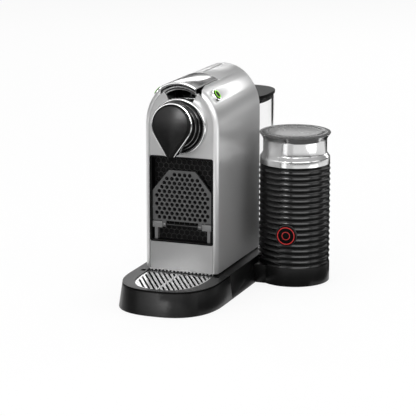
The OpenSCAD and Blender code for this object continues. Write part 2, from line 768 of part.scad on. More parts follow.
module right_button_ring() button_ring(0);
module left_button_ring() button_ring(1);
module right_button() button_cap(0);
module left_button() button_cap(1);

// ---- lever ----

module lever_cover() color("#d8dadc") intersection() {
    difference() {
        along_y(-lever_lip, lever_rear) polygon(arch_pts(-lever_raise, spring_z));
        along_y(-far, far) polygon(arch_pts(lever_t - lever_raise, 0));
    }
    box(-lever_w/2, -far, spring_z, lever_w/2, far, far);
}

module lever_frame() color("#232325") difference() {
    intersection() {
        along_y(0, lever_rear - 2) polygon(arch_pts(lever_t - lever_raise, spring_z));
        union() {
            difference() {
                box(-arm_x - arm_t, flange_y + 2, spring_z, arm_x + arm_t, lever_rear - 2, far);
                along_y(-far, far) polygon(arch_pts(lever_t - lever_raise + 1.8, 0));
            }
            pair() along_x(arm_x, arm_x + arm_t) polygon([[pivot_y - 16, body_h], [lever_rear - 8, body_h],
                [pivot_y + 6, pivot_z], [pivot_y - 6, pivot_z]]);
            pair() translate([arm_x, pivot_y, pivot_z]) rotate([0, 90, 0])
                cylinder(r = pivot_r + 3, h = arm_t);
        }
    }
    at_pivot() cylinder(r = pivot_r + run_fit, h = far, center = true);
}

// ---- drawer: tray, grid, recess, shelf and bin ----

module d_front(half, front, back) intersection() {
    polygon(d_pts(half, front, far, tray_nose_y, far/2));
    translate([-far, -far]) square([2*far, far + back]);
}

module drip_tray() color("#1b1b1d") difference() {
    union() {
        difference() {
            intersection() {
                base_form(0, foot_h, base_h);
                ahead_of(tray_joint);
            }
            intersection() {
                base_form(tray_wall, foot_h - 1, base_h - tray_wall);
                ahead_of(tray_joint - tray_wall);
            }
        }
        translate([0, 0, foot_h + 1]) linear_extrude(base_h - foot_h - 1 - eps)
            d_front(grid_half + tray_wall, grid_front - tray_wall, 0);
        box(-tongue_half, -tray_wall, tongue_z, tongue_half, drawer_d, base_h - part_gap);
    }
    translate([0, 0, foot_h + 1 + tray_wall]) linear_extrude(far)
        d_front(grid_half - grid_ledge, grid_front + grid_ledge, -tray_wall);
    translate([0, 0, grid_z - part_gap]) linear_extrude(far)
        d_front(grid_half + part_gap, grid_front - part_gap, -part_gap);
    box(-tongue_half + tray_wall, 5, tongue_floor, tongue_half - tray_wall, drawer_d - tray_wall, far);
    pair() box(grid_half + 3.4, -8, base_h - 9, grid_half + 9, 0.5, far);
}

module drip_grid() color("#c8c9cb") translate([0, 0, grid_z]) linear_extrude(grid_t) difference() {
    d_front(grid_half, grid_front, -2*part_gap);
    intersection() {
        d_front(grid_half - grid_ledge - 1, grid_front + grid_ledge + 1, -2*part_gap - 3);
        rotate(-grid_angle) for (i = [-22:22]) translate([-far, i*(grid_slot + grid_bar)])
            square([2*far, grid_slot]);
        for (s = [-1, 1]) translate([s*(grid_half/2 + 0.5) - grid_half/2, -far])
            square([grid_half - 2, 2*far]);
    }
}

module bin_front() color("#a6a8aa") difference() {
    box(-tub_half, panel_y, base_h, tub_half, panel_y + 2.4, recess_z);
    for (i = [-8:8]) box(i*5 - 1.4, -1, 0, i*5 + 1.4, 10, base_h + 1.6);
}

module backsplash() color("#101011") difference() {
    along_y(panel_y, tub_back) polygon(round_pts(-tub_half, recess_z + part_gap, tub_half,
        recess_top, 3));
    along_y(-1, recess_d) polygon(round_pts(-tub_half + drawer_wall, recess_z + part_gap + drawer_wall,
        tub_half - drawer_wall, recess_top - drawer_wall, 2));
}

module capsule_bin() color("#1f1f21") difference() {
    translate([0, 0, tongue_floor]) linear_extrude(bin_top - tongue_floor)
        polygon(round_pts(-bin_half, bin_y, bin_half, drawer_d - tray_wall - part_gap, 4));
    translate([0, 0, tongue_floor + drawer_wall]) linear_extrude(far) polygon(round_pts(
        -bin_half + drawer_wall, bin_y + drawer_wall, bin_half - drawer_wall,
        drawer_d - tray_wall - part_gap - drawer_wall, 3));
}

module at_shelf() translate([0, shelf_y, shelf_z]) rotate([0, 90, 0]) children();

module hinge_blocks() color("#55565a") difference() {
    pair() {
        box(block_x, shelf_front - 0.6, shelf_z - 4, shelf_half, recess_d, block_top);
        box(shelf_half - 6.5, shelf_y - 1, recess_z + part_gap + drawer_wall, shelf_half - 2.5,
            recess_d, shelf_z - 4 + eps);
    }
    at_shelf() cylinder(r = shelf_pin_r + run_fit/2, h = 2*shelf_half - 3, center = true);
}

module shelf_pin() color("#c4c4c6") at_shelf()
    cylinder(r = shelf_pin_r, h = 2*shelf_half - 3.2, center = true);

module cup_shelf() color("#37383b") difference() {
    union() {
        along_y(shelf_front, shelf_front + shelf_t) difference() {
            polygon(shelf_pts());
            hole_rows();
        }
        pair() at_shelf() translate([0, 0, block_x - part_gap - knuckle_l])
            cylinder(r = knuckle_r, h = knuckle_l);
        pair() box(block_x - part_gap - knuckle_l, shelf_front, shelf_z, block_x - part_gap,
            shelf_front + shelf_t, block_top + 4*part_gap + eps);
    }
    at_shelf() cylinder(r = shelf_pin_r + run_fit, h = far, center = true);
}

// The shelf's outline: square at the hinge, with its upper corners cut off at a slant
function shelf_pts() = let (h = shelf_half, z0 = block_top + 4*part_gap, z1 = shelf_top)
    [[-h, z0], [h, z0], [h, z1 - shelf_cut], [h - shelf_cut_w, z1],
        [shelf_cut_w - h, z1], [-h, z1 - shelf_cut]];

module hole_rows() for (j = [0:14], i = [-6:6])
    let (x = (i + ((j + 1) % 2)/2)*hole_pitch, z = block_top + 4*part_gap + 4.3 + j*hole_rise,
        slant = (abs(x) - shelf_half)/shelf_cut_w + (z - shelf_top)/shelf_cut + 1)
        if (abs(x) < shelf_half - hole_r - 1.5 && z < shelf_top - hole_r - 1.5
            && -slant*shelf_cut_w*shelf_cut/norm([shelf_cut_w, shelf_cut]) > hole_r + 1.5)
            translate([x, z]) circle(r = hole_r);

// ---- water tank ----

module water_tank() color("#dfe8ec", 0.35) difference() {
    translate([0, 0, tank_seat_z]) linear_extrude(tank_h - tank_seat_z) tank_outline(0);
    translate([0, 0, tank_seat_z + tank_wall + 1]) linear_extrude(far) tank_outline(-tank_wall);
    translate([0, tank_front + 22, 0]) cylinder(r = inlet_r + part_gap, h = tank_seat_z + 20);
    translate([0, tank_front + 22, 0]) cylinder(r = inlet_r + 3, h = tank_seat_z + 1);
}

module tank_valve() color("#2a2a2c") translate([0, tank_front + 22, tank_seat_z + tank_wall + 1]) {
    difference() {
        cylinder(r = inlet_r + 5, h = 9);
        translate([0, 0, -1]) cylinder(r = inlet_r + part_gap, h = 7);
        for (a = [0, 60, 120]) rotate([0, 0, a]) box(-20, -1.2, 2, 20, 1.2, 5);
    }
}

module tank_lid() color("#1f2023") {
    translate([0, 0, tank_h + part_gap]) linear_extrude(lid_t) tank_outline(lid_over);
    translate([0, 0, tank_h + part_gap - lid_plug]) linear_extrude(lid_plug + eps) difference() {
        tank_outline(-tank_wall - part_gap);
        tank_outline(-tank_wall - part_gap - 2);
    }
}

// ---- frother ----

module at_froth(z) translate([froth_x, froth_y, z]) children();
module at_froth_button(r) at_froth(froth_button_z) rotate([0, 0, froth_button_turn])
    rotate([90, 0, 0]) translate([0, 0, r]) children();

module frother_casing() color("#141415") difference() {
    at_froth(0) rotate_extrude($fn = 96) polygon(concat(
        [[0, casing_floor + 2], [0, froth_base]],
        [for (z = [froth_base:rib_pitch/6:froth_casing_h]) [rib_r(z), z]],
        [[froth_r - rib_depth, froth_casing_h], [jug_r + 0.6, froth_casing_h],
         [jug_r + 0.6, casing_floor + 2]]));
    at_froth(0) cylinder(r = socket_r + part_gap, h = casing_floor);
    at_froth_button(0) cylinder(r = froth_button_r + 1.4 + run_fit, h = 100);
}

module frother_jug() color("#c4c6c8") at_froth(0) {
    rotate_extrude($fn = 96) polygon([[0, jug_floor], [jug_r - 2, jug_floor], [jug_r, jug_floor + 3],
        [jug_r, froth_casing_h], [band_r, froth_casing_h], [band_r, band_top],
        [neck_r + 1.6, band_top + 3.4], [neck_r + 1, band_top + 4], [neck_r, neck_z],
        [neck_r, flare_z], [neck_r + 1.4, flare_z + 3], [froth_r - 1, jug_h - 0.6],
        [froth_r - 1, jug_h], [froth_r - 2, jug_h], [neck_r - 0.2, flare_z + 3],
        [neck_r - jug_wall, flare_z], [neck_r - jug_wall, neck_z], [jug_r - jug_wall, band_top],
        [jug_r - jug_wall, jug_floor + 4], [jug_r - jug_wall - 3, jug_floor + jug_wall],
        [0, jug_floor + jug_wall]]);
    translate([0, 0, jug_floor + jug_wall - eps]) cylinder(r = 2, h = 10);
}

module frother_motor() color("#7c7d80") at_froth(casing_floor + 2) {
    cylinder(r = 17, h = jug_floor - casing_floor - 12);
    translate([0, 0, jug_floor - casing_floor - 12 - eps]) cylinder(r = 13, h = 10 - part_gap);
}

module frother_heater() color("#a08a5a") at_froth(jug_floor - 4) difference() {
    cylinder(r = jug_r - 3, h = 4 - eps);
    translate([0, 0, -1]) cylinder(r = 14, h = 8);
}

module frother_bezel() color("#3a3c3e") difference() {
    at_froth_button(jug_r + 1) cylinder(r = froth_button_r + 1.4, h = froth_r + 0.2 - jug_r - 1);
    at_froth_button(jug_r + 2) cylinder(r = froth_button_r + part_gap, h = 20);
}

module frother_button() color("#0c0c0d") at_froth_button(jug_r + 3.2)
    cylinder(r = froth_button_r, h = froth_r + 1.4 - jug_r - 3.2);

module frother_lid() color("#70757a", 0.5) at_froth(jug_h + part_gap) rotate_extrude($fn = 96)
    polygon([[0, 0.2], [neck_r - 6, 0.2], [neck_r - 6, -3], [neck_r - 3.6, -3], [neck_r - 3.6, 0],
        [froth_r - 0.4, 0], [froth_r, 0.6], [froth_r, 1.2], [froth_r - 1.4, froth_lid_t],
        [neck_r - 4, froth_lid_t], [neck_r - 6, froth_lid_t - 0.8], [0, froth_lid_t - 0.8]]);

module lid_seal() color("#1d1e20") at_froth(jug_h + part_gap) rotate_extrude($fn = 96)
    polygon([[neck_r - 3.6 + run_fit, -0.02], [neck_r - 3.6 + run_fit, -5], [neck_r - jug_wall - 0.4, -7],
        [neck_r - jug_wall - 0.4, -5], [neck_r - 0.6, -0.02]]);

module whisk() color("#b9bbbd") at_froth(jug_floor + jug_wall + part_gap) difference() {
    union() {
        cylinder(r = 5, h = 8);
        translate([0, 0, 0.4]) for (a = [0:60:300]) rotate([0, 0, a]) box(0, -0.7, 0, whisk_r, 0.7, 2.6);
        translate([0, 0, 1.7]) rotate_extrude() translate([whisk_r, 0]) circle(r = 1.7, $fn = 24);
    }
    translate([0, 0, -1]) cylinder(r = 2 + run_fit, h = 20);
}

base_shell();
base_plate();
rubber_feet();
front_stay();
base_screws();
frother_dock();
dock_connector();
left_shell();
right_shell();
rear_cover();
seam_strip();
front_panel();
head_collar();
head_drum();
nose_trim();
nose_cover();
coffee_spout();
brew_plate();
slot_liner();
brew_frame();
guide_rods();
lever_pin();
chassis();
heating_block();
water_pump();
pump_seat();
flow_meter();
circuit_board();
suction_hose();
pressure_pipe();
inlet_spigot();
cord_gland();
left_button_ring();
right_button_ring();
drip_tray();
bin_front();
backsplash();
capsule_bin();
hinge_blocks();
shelf_pin();
drip_grid();
cup_shelf();
lever_cover();
lever_frame();
capsule_cage();
left_button();
right_button();
water_tank();
tank_valve();
tank_lid();
frother_casing();
frother_jug();
frother_motor();
frother_heater();
frother_bezel();
frother_button();
frother_lid();
lid_seal();
whisk();
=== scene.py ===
import bpy, bmesh, json
from math import sin, cos, pi, radians, hypot, atan2
from mathutils import Vector, Matrix


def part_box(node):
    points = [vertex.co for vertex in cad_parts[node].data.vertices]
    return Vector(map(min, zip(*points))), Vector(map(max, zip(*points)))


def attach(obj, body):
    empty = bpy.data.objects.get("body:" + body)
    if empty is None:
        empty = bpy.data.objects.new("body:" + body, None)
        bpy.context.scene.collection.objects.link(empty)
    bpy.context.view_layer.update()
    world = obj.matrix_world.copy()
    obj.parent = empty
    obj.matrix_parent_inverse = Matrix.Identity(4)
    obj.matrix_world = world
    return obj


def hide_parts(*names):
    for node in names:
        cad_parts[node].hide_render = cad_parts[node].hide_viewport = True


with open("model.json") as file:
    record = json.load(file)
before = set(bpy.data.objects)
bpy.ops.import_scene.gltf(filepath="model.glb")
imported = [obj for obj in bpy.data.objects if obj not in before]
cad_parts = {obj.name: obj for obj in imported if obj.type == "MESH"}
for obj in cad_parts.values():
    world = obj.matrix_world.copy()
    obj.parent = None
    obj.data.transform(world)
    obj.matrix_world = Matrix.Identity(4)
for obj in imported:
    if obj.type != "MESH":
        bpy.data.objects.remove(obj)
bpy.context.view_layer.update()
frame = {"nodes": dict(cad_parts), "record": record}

nodes = frame["nodes"]
scene = bpy.context.scene
print("frame loaded:", len(nodes), "solids")

# pieces are shaped in millimetres and finishPiece turns them into metres; the room is in metres
mergeGap = 0.002    # points closer than this become one
nodeCopy = dict(mergeGap=0.003, flat=0.4)    # for copied CAD nodes; faces within the flat angle are joined
broadFace = dict(corners=6, area=40, square=0.9995)    # bigger than this, and this square to an axis


def corners(node):
    low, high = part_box(node)
    return low * 1000, high * 1000


def move(bm, matrix):
    bmesh.ops.transform(bm, matrix=matrix, verts=bm.verts)


def outward(bm):
    bmesh.ops.remove_doubles(bm, verts=bm.verts, dist=mergeGap)
    bmesh.ops.recalc_face_normals(bm, faces=bm.faces)


def onlyVerts(geom):
    return [g for g in geom if isinstance(g, bmesh.types.BMVert)]


def extrude(bm, faces, along=(0, 0, 0)):
    # extrudes faces as one, moves the new end and gives back what was made
    made = bmesh.ops.extrude_face_region(bm, geom=faces)["geom"]
    bmesh.ops.translate(bm, vec=along, verts=onlyVerts(made))
    return made


def newObject(bm, name):
    mesh = bpy.data.meshes.new(name)
    bm.to_mesh(mesh)
    bm.free()
    made = bpy.data.objects.new(name, mesh)
    scene.collection.objects.link(made)
    return made


def joinTo(bm, other):
    mesh = bpy.data.meshes.new("joined")
    other.to_mesh(mesh)
    other.free()
    bm.from_mesh(mesh)
    bpy.data.meshes.remove(mesh)


def split(bm, point, normal, drop=False):
    # cuts along a plane; drop takes off what lies beyond it
    bmesh.ops.bisect_plane(bm, geom=bm.verts[:] + bm.edges[:] + bm.faces[:], dist=0.001, plane_co=point,
                           plane_no=normal, clear_outer=drop)
    if drop:
        bmesh.ops.holes_fill(bm, edges=[e for e in bm.edges if e.is_boundary])


def roundEdges(bm, width, steps=2, over=30):
    # eases the edges that turn by more than so many degrees
    edges = [e for e in bm.edges if len(e.link_faces) == 2 and e.calc_face_angle(0) > radians(over)]
    if edges:
        bmesh.ops.bevel(bm, geom=edges, offset=width, offset_type="OFFSET", segments=steps,
                        profile=0.5, affect="EDGES", material=-1, clamp_overlap=True)


def finishPiece(bm, name, body, material, replaces=(), smooth=32):
    # edges that turn by more than so many degrees stay sharp
    bmesh.ops.remove_doubles(bm, verts=bm.verts, dist=mergeGap)
    for face in bm.faces:
        # broad faces that lie square keep their own shading, so eased edges don't tint them
        broad = len(face.verts) > broadFace["corners"] and face.calc_area() > broadFace["area"]
        face.smooth = not (broad and max(map(abs, face.normal)) > broadFace["square"])
    bmesh.ops.scale(bm, vec=(0.001, 0.001, 0.001), verts=bm.verts)
    for edge in bm.edges:
        edge.smooth = len(edge.link_faces) == 2 and edge.calc_face_angle(0) < radians(smooth)
    piece = newObject(bm, name)
    piece.data.materials.append(material)
    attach(piece, body)
    if replaces:
        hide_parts(*replaces)


def turned(profile, place, steps=96, closed=True):
    # an outline of (radius, height) points spun round the Z axis and put in place
    bm = bmesh.new()
    verts = [bm.verts.new((r, 0, z)) for r, z in profile]
    edges = [bm.edges.new(pair) for pair in zip(verts, verts[1:])]
    if closed:
        edges.append(bm.edges.new((verts[-1], verts[0])))
    bmesh.ops.spin(bm, geom=verts + edges, cent=(0, 0, 0), axis=(0, 0, 1), angle=2 * pi,
                   steps=steps, use_merge=True)
    outward(bm)
    move(bm, place)
    return bm


def block(bm, low, high):
    size = [b - a for a, b in zip(low, high)]
    middle = [(a + b) / 2 for a, b in zip(low, high)]
    made = bmesh.ops.create_cube(bm, size=1)["verts"]
    bmesh.ops.scale(bm, vec=size, verts=made)
    bmesh.ops.translate(bm, vec=middle, verts=made)
    return made


def carve(bm, cutter):
    # takes one closed shape out of another
    pair = [newObject(bm, "carved"), newObject(cutter, "cutter")]
    cut = pair[0].modifiers.new("cut", "BOOLEAN")
    cut.operation, cut.solver, cut.object = "DIFFERENCE", "EXACT", pair[1]
    cut.use_self = True
    shaped = pair[0].evaluated_get(bpy.context.evaluated_depsgraph_get())
    result = bmesh.new()
    result.from_mesh(shaped.to_mesh())
    for made in pair:
        mesh = made.data
        bpy.data.objects.remove(made)
        bpy.data.meshes.remove(mesh)
    bmesh.ops.remove_doubles(result, verts=result.verts, dist=mergeGap)
    return result


def softened(node, width):
    # a merged copy of a CAD node with its sharp edges eased
    bm = bmesh.new()
    bm.from_mesh(nodes[node].data)
    bmesh.ops.scale(bm, vec=(1000, 1000, 1000), verts=bm.verts)
    bmesh.ops.remove_doubles(bm, verts=bm.verts, dist=nodeCopy["mergeGap"])
    bmesh.ops.dissolve_limit(bm, angle_limit=radians(nodeCopy["flat"]), verts=bm.verts, edges=bm.edges)
    if width:
        roundEdges(bm, width)
    return bm


def surface(name, tones, metal=0.0, rough=(0.35, 0.45), grain=900, bump=0.15, depth=0.00004,
            stretch=(1, 1, 1), blot=25, **sockets):
    # a broad noise (blot) mixes the two tones; a fine one (grain) varies the roughness and gives the relief
    mat = bpy.data.materials.new(name)
    mat.use_nodes = True
    tree = mat.node_tree
    shader = tree.nodes["Principled BSDF"]
    place = tree.nodes.new("ShaderNodeTexCoord")
    mapping = tree.nodes.new("ShaderNodeMapping")
    mapping.inputs["Scale"].default_value = stretch
    tree.links.new(place.outputs["Object"], mapping.inputs["Vector"])
    fine, broad = tree.nodes.new("ShaderNodeTexNoise"), tree.nodes.new("ShaderNodeTexNoise")
    for noise, scale, detail in ((fine, grain, 3), (broad, blot, 2)):
        noise.inputs["Scale"].default_value = scale
        noise.inputs["Detail"].default_value = detail
        tree.links.new(mapping.outputs["Vector"], noise.inputs["Vector"])
    colour = tree.nodes.new("ShaderNodeMix")
    colour.data_type = "RGBA"
    colour.inputs["A"].default_value = (*tones[0], 1)
    colour.inputs["B"].default_value = (*tones[1], 1)
    tree.links.new(broad.outputs["Fac"], colour.inputs["Factor"])
    tree.links.new(colour.outputs["Result"], shader.inputs["Base Color"])
    spread = tree.nodes.new("ShaderNodeMapRange")
    spread.inputs["From Min"].default_value, spread.inputs["From Max"].default_value = 0.3, 0.7
    spread.inputs["To Min"].default_value, spread.inputs["To Max"].default_value = rough
    tree.links.new(fine.outputs["Fac"], spread.inputs["Value"])
    tree.links.new(spread.outputs["Result"], shader.inputs["Roughness"])
    relief = tree.nodes.new("ShaderNodeBump")
    relief.inputs["Strength"].default_value = bump
    relief.inputs["Distance"].default_value = depth
    tree.links.new(fine.outputs["Fac"], relief.inputs["Height"])
    tree.links.new(relief.outputs["Normal"], shader.inputs["Normal"])
    shader.inputs["Metallic"].default_value = metal
    for socket, value in sockets.items():
        shader.inputs[socket.replace("_", " ")].default_value = value
    return mat


def grey(value):
    return (value, value, value)


# painted, plated and bare metal
silverPaint = surface("silverPaint", (grey(0.62), grey(0.66)), metal=0.7, rough=(0.3, 0.38), grain=2600,
                      bump=0.12, depth=0.00002, blot=9)
# painted shade: the shell's silver paint made darker for the front panel and its corner webs
panelShadedPaint = surface("panelShadedPaint", (grey(0.50), grey(0.54)), metal=0.7, rough=(0.3, 0.38), grain=2600,
                     bump=0.12, depth=0.00002, blot=9)
# painted shade: the same silver paint made darker still for the bin front and its corner webs
binShadedPaint = surface("binShadedPaint", (grey(0.35), grey(0.38)), metal=0.6, rough=(0.34, 0.42), grain=2600,
                   bump=0.12, depth=0.00002, blot=9)
# painted highlight: the metal of the thin rings along the drum's black disc edges
beadHighlightChrome = surface("beadHighlightChrome", (grey(0.2), grey(0.24)), metal=1.0, rough=(0.12, 0.18), grain=900,
                     bump=0.02, depth=0.00001, blot=9)
collarSilver = surface("collarSilver", (grey(0.62), grey(0.66)), metal=0.9, rough=(0.13, 0.19), grain=1600,
                       bump=0.05, depth=0.00002, blot=9)
chrome = surface("chrome", (grey(0.86), grey(0.9)), metal=1.0, rough=(0.05, 0.1), grain=500, bump=0.03,
                 depth=0.00002, blot=12)
leverChrome = surface("leverChrome", (grey(0.8), grey(0.85)), metal=1.0, rough=(0.13, 0.18), grain=700,
                      bump=0.03, depth=0.00002, blot=12)
steel = surface("steel", (grey(0.64), grey(0.70)), metal=1.0, rough=(0.12, 0.2), grain=300, bump=0.05,
                depth=0.00002, stretch=(1, 1, 12), blot=6)
gridSteel = surface("gridSteel", (grey(0.66), grey(0.74)), metal=1.0, rough=(0.2, 0.3), grain=700, bump=0.1,
                    depth=0.00003, blot=14)
darkSteel = surface("darkSteel", (grey(0.03), grey(0.04)), metal=1.0, rough=(0.3, 0.4), grain=600, bump=0.1,
                    depth=0.00002, blot=14)
castMetal = surface("castMetal", (grey(0.48), grey(0.55)), metal=1.0, rough=(0.42, 0.55), grain=650, bump=0.5,
                    depth=0.0001, blot=30)
brassFoil = surface("brassFoil", ((0.62, 0.46, 0.2), (0.7, 0.54, 0.26)), metal=1.0, rough=(0.25, 0.38),
                    grain=800, bump=0.2, blot=40)

# black, grey and ivory plastic
blackGloss = surface("blackGloss", (grey(0.004), grey(0.006)), rough=(0.1, 0.15), grain=120, bump=0.02,
                     depth=0.00002, blot=8, Specular_IOR_Level=0.4)
noseBlack = surface("noseBlack", (grey(0.002), grey(0.003)), rough=(0.22, 0.26), grain=1600, bump=0.02,
                    depth=0.00001, blot=8, Specular_IOR_Level=0.22)
noseEdge = surface("noseEdge", (grey(0.003), grey(0.005)), rough=(0.3, 0.36), grain=1600, bump=0.02,
                   depth=0.00001, blot=8, Specular_IOR_Level=0.1)
drumBlack = surface("drumBlack", (grey(0.003), grey(0.005)), rough=(0.08, 0.12), grain=900, bump=0.02,
                    depth=0.00001, blot=8, Specular_IOR_Level=0.1)
capBlack = surface("capBlack", (grey(0.002), grey(0.004)), rough=(0.35, 0.42), grain=900, bump=0.05,
                   depth=0.00001, blot=8, Specular_IOR_Level=0.04)
# painted light: the honeycomb's ridges get a lighter black than the recess wall behind them
ridgeLitBlack = surface("ridgeLitBlack", (grey(0.02), grey(0.03)), rough=(0.25, 0.32), grain=1300, bump=0.05,
                     depth=0.00001, blot=14, Specular_IOR_Level=0.4)
combBlack = surface("combBlack", (grey(0.002), grey(0.003)), rough=(0.28, 0.33), grain=1300, bump=0.03,
                    depth=0.00001, blot=14, Specular_IOR_Level=0.12)
frothBlack = surface("frothBlack", (grey(0.003), grey(0.004)), rough=(0.17, 0.22), grain=1500, bump=0.06,
                     depth=0.00002, blot=16, Specular_IOR_Level=0.4)
blackPlastic = surface("blackPlastic", (grey(0.004), grey(0.007)), rough=(0.28, 0.36), grain=1700, bump=0.25,
                       depth=0.00003, blot=16, Specular_IOR_Level=0.2)
darkPlastic = surface("darkPlastic", (grey(0.02), grey(0.026)), rough=(0.32, 0.42), grain=1500, bump=0.3,
                      depth=0.00004, blot=18, Specular_IOR_Level=0.35)
shelfPlastic = surface("shelfPlastic", (grey(0.08), grey(0.1)), rough=(0.2, 0.27), grain=1500, bump=0.12,
                       depth=0.00002, blot=18, Specular_IOR_Level=0.6)
greyPlastic = surface("greyPlastic", (grey(0.16), grey(0.19)), rough=(0.3, 0.4), grain=1300, bump=0.25,
                      depth=0.00004, blot=18)
ivoryPlastic = surface("ivoryPlastic", ((0.62, 0.6, 0.52), (0.68, 0.66, 0.58)), rough=(0.4, 0.5), grain=1200,
                       bump=0.2, blot=20)
# painted reflection: the grey of the disc under the frother lid's top
lidSheenGrey = surface("lidSheenGrey", (grey(0.15), grey(0.18)), rough=(0.22, 0.28), grain=200, bump=0.03,
                  depth=0.00002, blot=10, Specular_IOR_Level=0.15)

# rubber, circuit board, hose and clear plastic
rubber = surface("rubber", (grey(0.014), grey(0.02)), rough=(0.65, 0.8), grain=1400, bump=0.4,
                 depth=0.00006, blot=24)
boardGreen = surface("boardGreen", ((0.01, 0.09, 0.03), (0.015, 0.13, 0.045)), rough=(0.3, 0.42), grain=500,
                     bump=0.25, blot=220)
hoseSilicone = surface("hoseSilicone", ((0.6, 0.6, 0.58), (0.66, 0.66, 0.63)), rough=(0.32, 0.42), grain=900,
                       bump=0.15, blot=30, Transmission_Weight=0.4)
clearPlastic = surface("clearPlastic", (grey(0.93), grey(0.97)), rough=(0.015, 0.04), grain=60, bump=0.02,
                       depth=0.00003, blot=5, Transmission_Weight=1.0, IOR=1.042)
smokedPlastic = surface("smokedPlastic", (grey(0.20), grey(0.24)), rough=(0.12, 0.18), grain=200, bump=0.03,
                        depth=0.00003, blot=10, Transmission_Weight=0.5, IOR=1.12)

# lit rings of the buttons
limeGlow = surface("limeGlow", ((0.25, 0.8, 0.02), (0.3, 0.85, 0.03)), rough=(0.3, 0.4), grain=600, bump=0.05,
                   blot=30, Emission_Color=(0.22, 0.75, 0.0, 1), Emission_Strength=0.5)
redGlow = surface("redGlow", ((0.4, 0.004, 0.004), (0.45, 0.006, 0.005)), rough=(0.3, 0.4), grain=600,
                  bump=0.05, blot=30, Emission_Color=(0.8, 0.01, 0.01, 1), Emission_Strength=0.15)

# the CAD nodes that stay in sight or inside get the finish of their slot
slotFinish = dict(black_plastic=blackPlastic, black_gloss=blackGloss, dark_plastic=darkPlastic,
                  grey_plastic=greyPlastic, ivory_plastic=ivoryPlastic, silver_paint=silverPaint,
                  button_cap=blackGloss, chrome_plate=chrome, steel=steel, cast_aluminium=castMetal,
                  brass_foil=brassFoil, black_rubber=rubber, board_green=boardGreen, hose=hoseSilicone,
                  clear_plastic=clearPlastic, smoked_plastic=smokedPlastic)
for part in frame["record"]["subparts"]:
    mesh = nodes[part["node"]].data
    mesh.materials.clear()
    mesh.materials.append(darkSteel if part["node"] == "shelf_pin" else slotFinish[part["material_slot"]])
print("finishes made:", len(slotFinish))

# the camera: lens and sensor width, where it looks from in degrees, the point it looks at and how far off
view = dict(lens=176.06, sensor=36, azimuth=20.65, elevation=13.27, target=(36.05, 0, 119.12),
            distance=2544.0)


def placeCamera():
    turnRound, tilt = radians(view["azimuth"]), radians(view["elevation"])
    away = Vector((sin(turnRound) * cos(tilt), -cos(turnRound) * cos(tilt), sin(tilt)))
    lens = bpy.data.cameras.new("camera")
    lens.lens, lens.sensor_width = view["lens"], view["sensor"]
    lens.clip_end = 60
    camera = bpy.data.objects.new("camera", lens)
    camera.location = (Vector(view["target"]) + away * view["distance"]) / 1000
    camera.rotation_euler = (pi / 2 - tilt, 0, turnRound)
    scene.collection.objects.link(camera)
    scene.camera = camera


# strength of the room on matt surfaces and as seen; the floor's glow, its share of shadow and half its side
room = dict(diffuse=0.55, shown=1.0, glow=1.04, shadow=0.16, half=14, aim=(0.04, 0.06, 0.13))
lamps = [dict(name="face", place=(-1.3, -2.25, 1.0), size=(1.6, 1.4), watts=12),
         dict(name="strip", place=(-0.62, -2.6, 0.95), size=(0.32, 1.4), watts=6),
         dict(name="side", place=(2.7, 0.25, 1.1), size=(1.8, 1.5), watts=13),
         dict(name="rim", place=(0.8, 2.6, 1.05), size=(0.9, 0.8), watts=7),
         dict(name="back", place=(-0.85, 2.4, 0.9), size=(0.8, 0.36), watts=2.6),
         dict(name="nose", place=(-0.2, -2.5, 0.8), size=(0.5, 0.5), watts=4.5),
         dict(name="top", place=(0.1, 0.2, 2.3), size=(1.5, 1.5), watts=11)]


def showsRoom(tree):
    # 1 for the rays that see the room: from the camera, off gloss and through glass
    path = tree.nodes.new("ShaderNodeLightPath")
    first, second = tree.nodes.new("ShaderNodeMath"), tree.nodes.new("ShaderNodeMath")
    first.operation = second.operation = "MAXIMUM"
    tree.links.new(path.outputs["Is Camera Ray"], first.inputs[0])
    tree.links.new(path.outputs["Is Glossy Ray"], first.inputs[1])
    tree.links.new(first.outputs[0], second.inputs[0])
    tree.links.new(path.outputs["Is Transmission Ray"], second.inputs[1])
    return second.outputs[0]


def lightRoom():
    world = bpy.data.worlds.new("room")
    scene.world = world
    world.use_nodes = True
    tree = world.node_tree
    light = tree.nodes["Background"]
    light.inputs["Color"].default_value = (1, 1, 1, 1)
    level = tree.nodes.new("ShaderNodeMapRange")
    level.inputs["To Min"].default_value = room["diffuse"]
    level.inputs["To Max"].default_value = room["shown"]
    tree.links.new(showsRoom(tree), level.inputs["Value"])
    tree.links.new(level.outputs["Result"], light.inputs["Strength"])
    for lamp in lamps:
        area = bpy.data.lights.new(lamp["name"], "AREA")
        area.shape = "RECTANGLE"
        area.size, area.size_y = lamp["size"]
        area.energy = lamp["watts"]
        holder = bpy.data.objects.new(lamp["name"], area)
        holder.location = lamp["place"]
        aim = Vector(room["aim"]) - Vector(lamp["place"])
        holder.rotation_euler = aim.to_track_quat("-Z", "Y").to_euler()
        scene.collection.objects.link(holder)


def layFloor():
    bm = bmesh.new()
    bmesh.ops.create_grid(bm, x_segments=8, y_segments=8, size=room["half"])
    floor = newObject(bm, "floor")
    mat = surface("floorPaint", (grey(0.86), grey(0.87)), rough=(0.6, 0.65), grain=40, bump=0.0, blot=1,
                  Specular_IOR_Level=0.1)
    tree = mat.node_tree
    glow = tree.nodes.new("ShaderNodeEmission")
    glow.inputs["Strength"].default_value = room["glow"]
    mixed = tree.nodes.new("ShaderNodeMixShader")
    share = tree.nodes.new("ShaderNodeMath")
    share.operation = "MULTIPLY"
    share.inputs[1].default_value = 1 - room["shadow"]
    tree.links.new(showsRoom(tree), share.inputs[0])
    tree.links.new(share.outputs[0], mixed.inputs["Fac"])
    tree.links.new(tree.nodes["Principled BSDF"].outputs[0], mixed.inputs[1])
    tree.links.new(glow.outputs[0], mixed.inputs[2])
    tree.links.new(mixed.outputs[0], tree.nodes["Material Output"].inputs["Surface"])
    floor.data.materials.append(mat)


# the dark cloths: a cone round the room, whose tone fades from dark to bright between two heights
flags = dict(radius=3.2, narrow=0.6, low=0.02, high=3.4, dark=0.08, bright=0.6, fade=(0.2, 2.2))


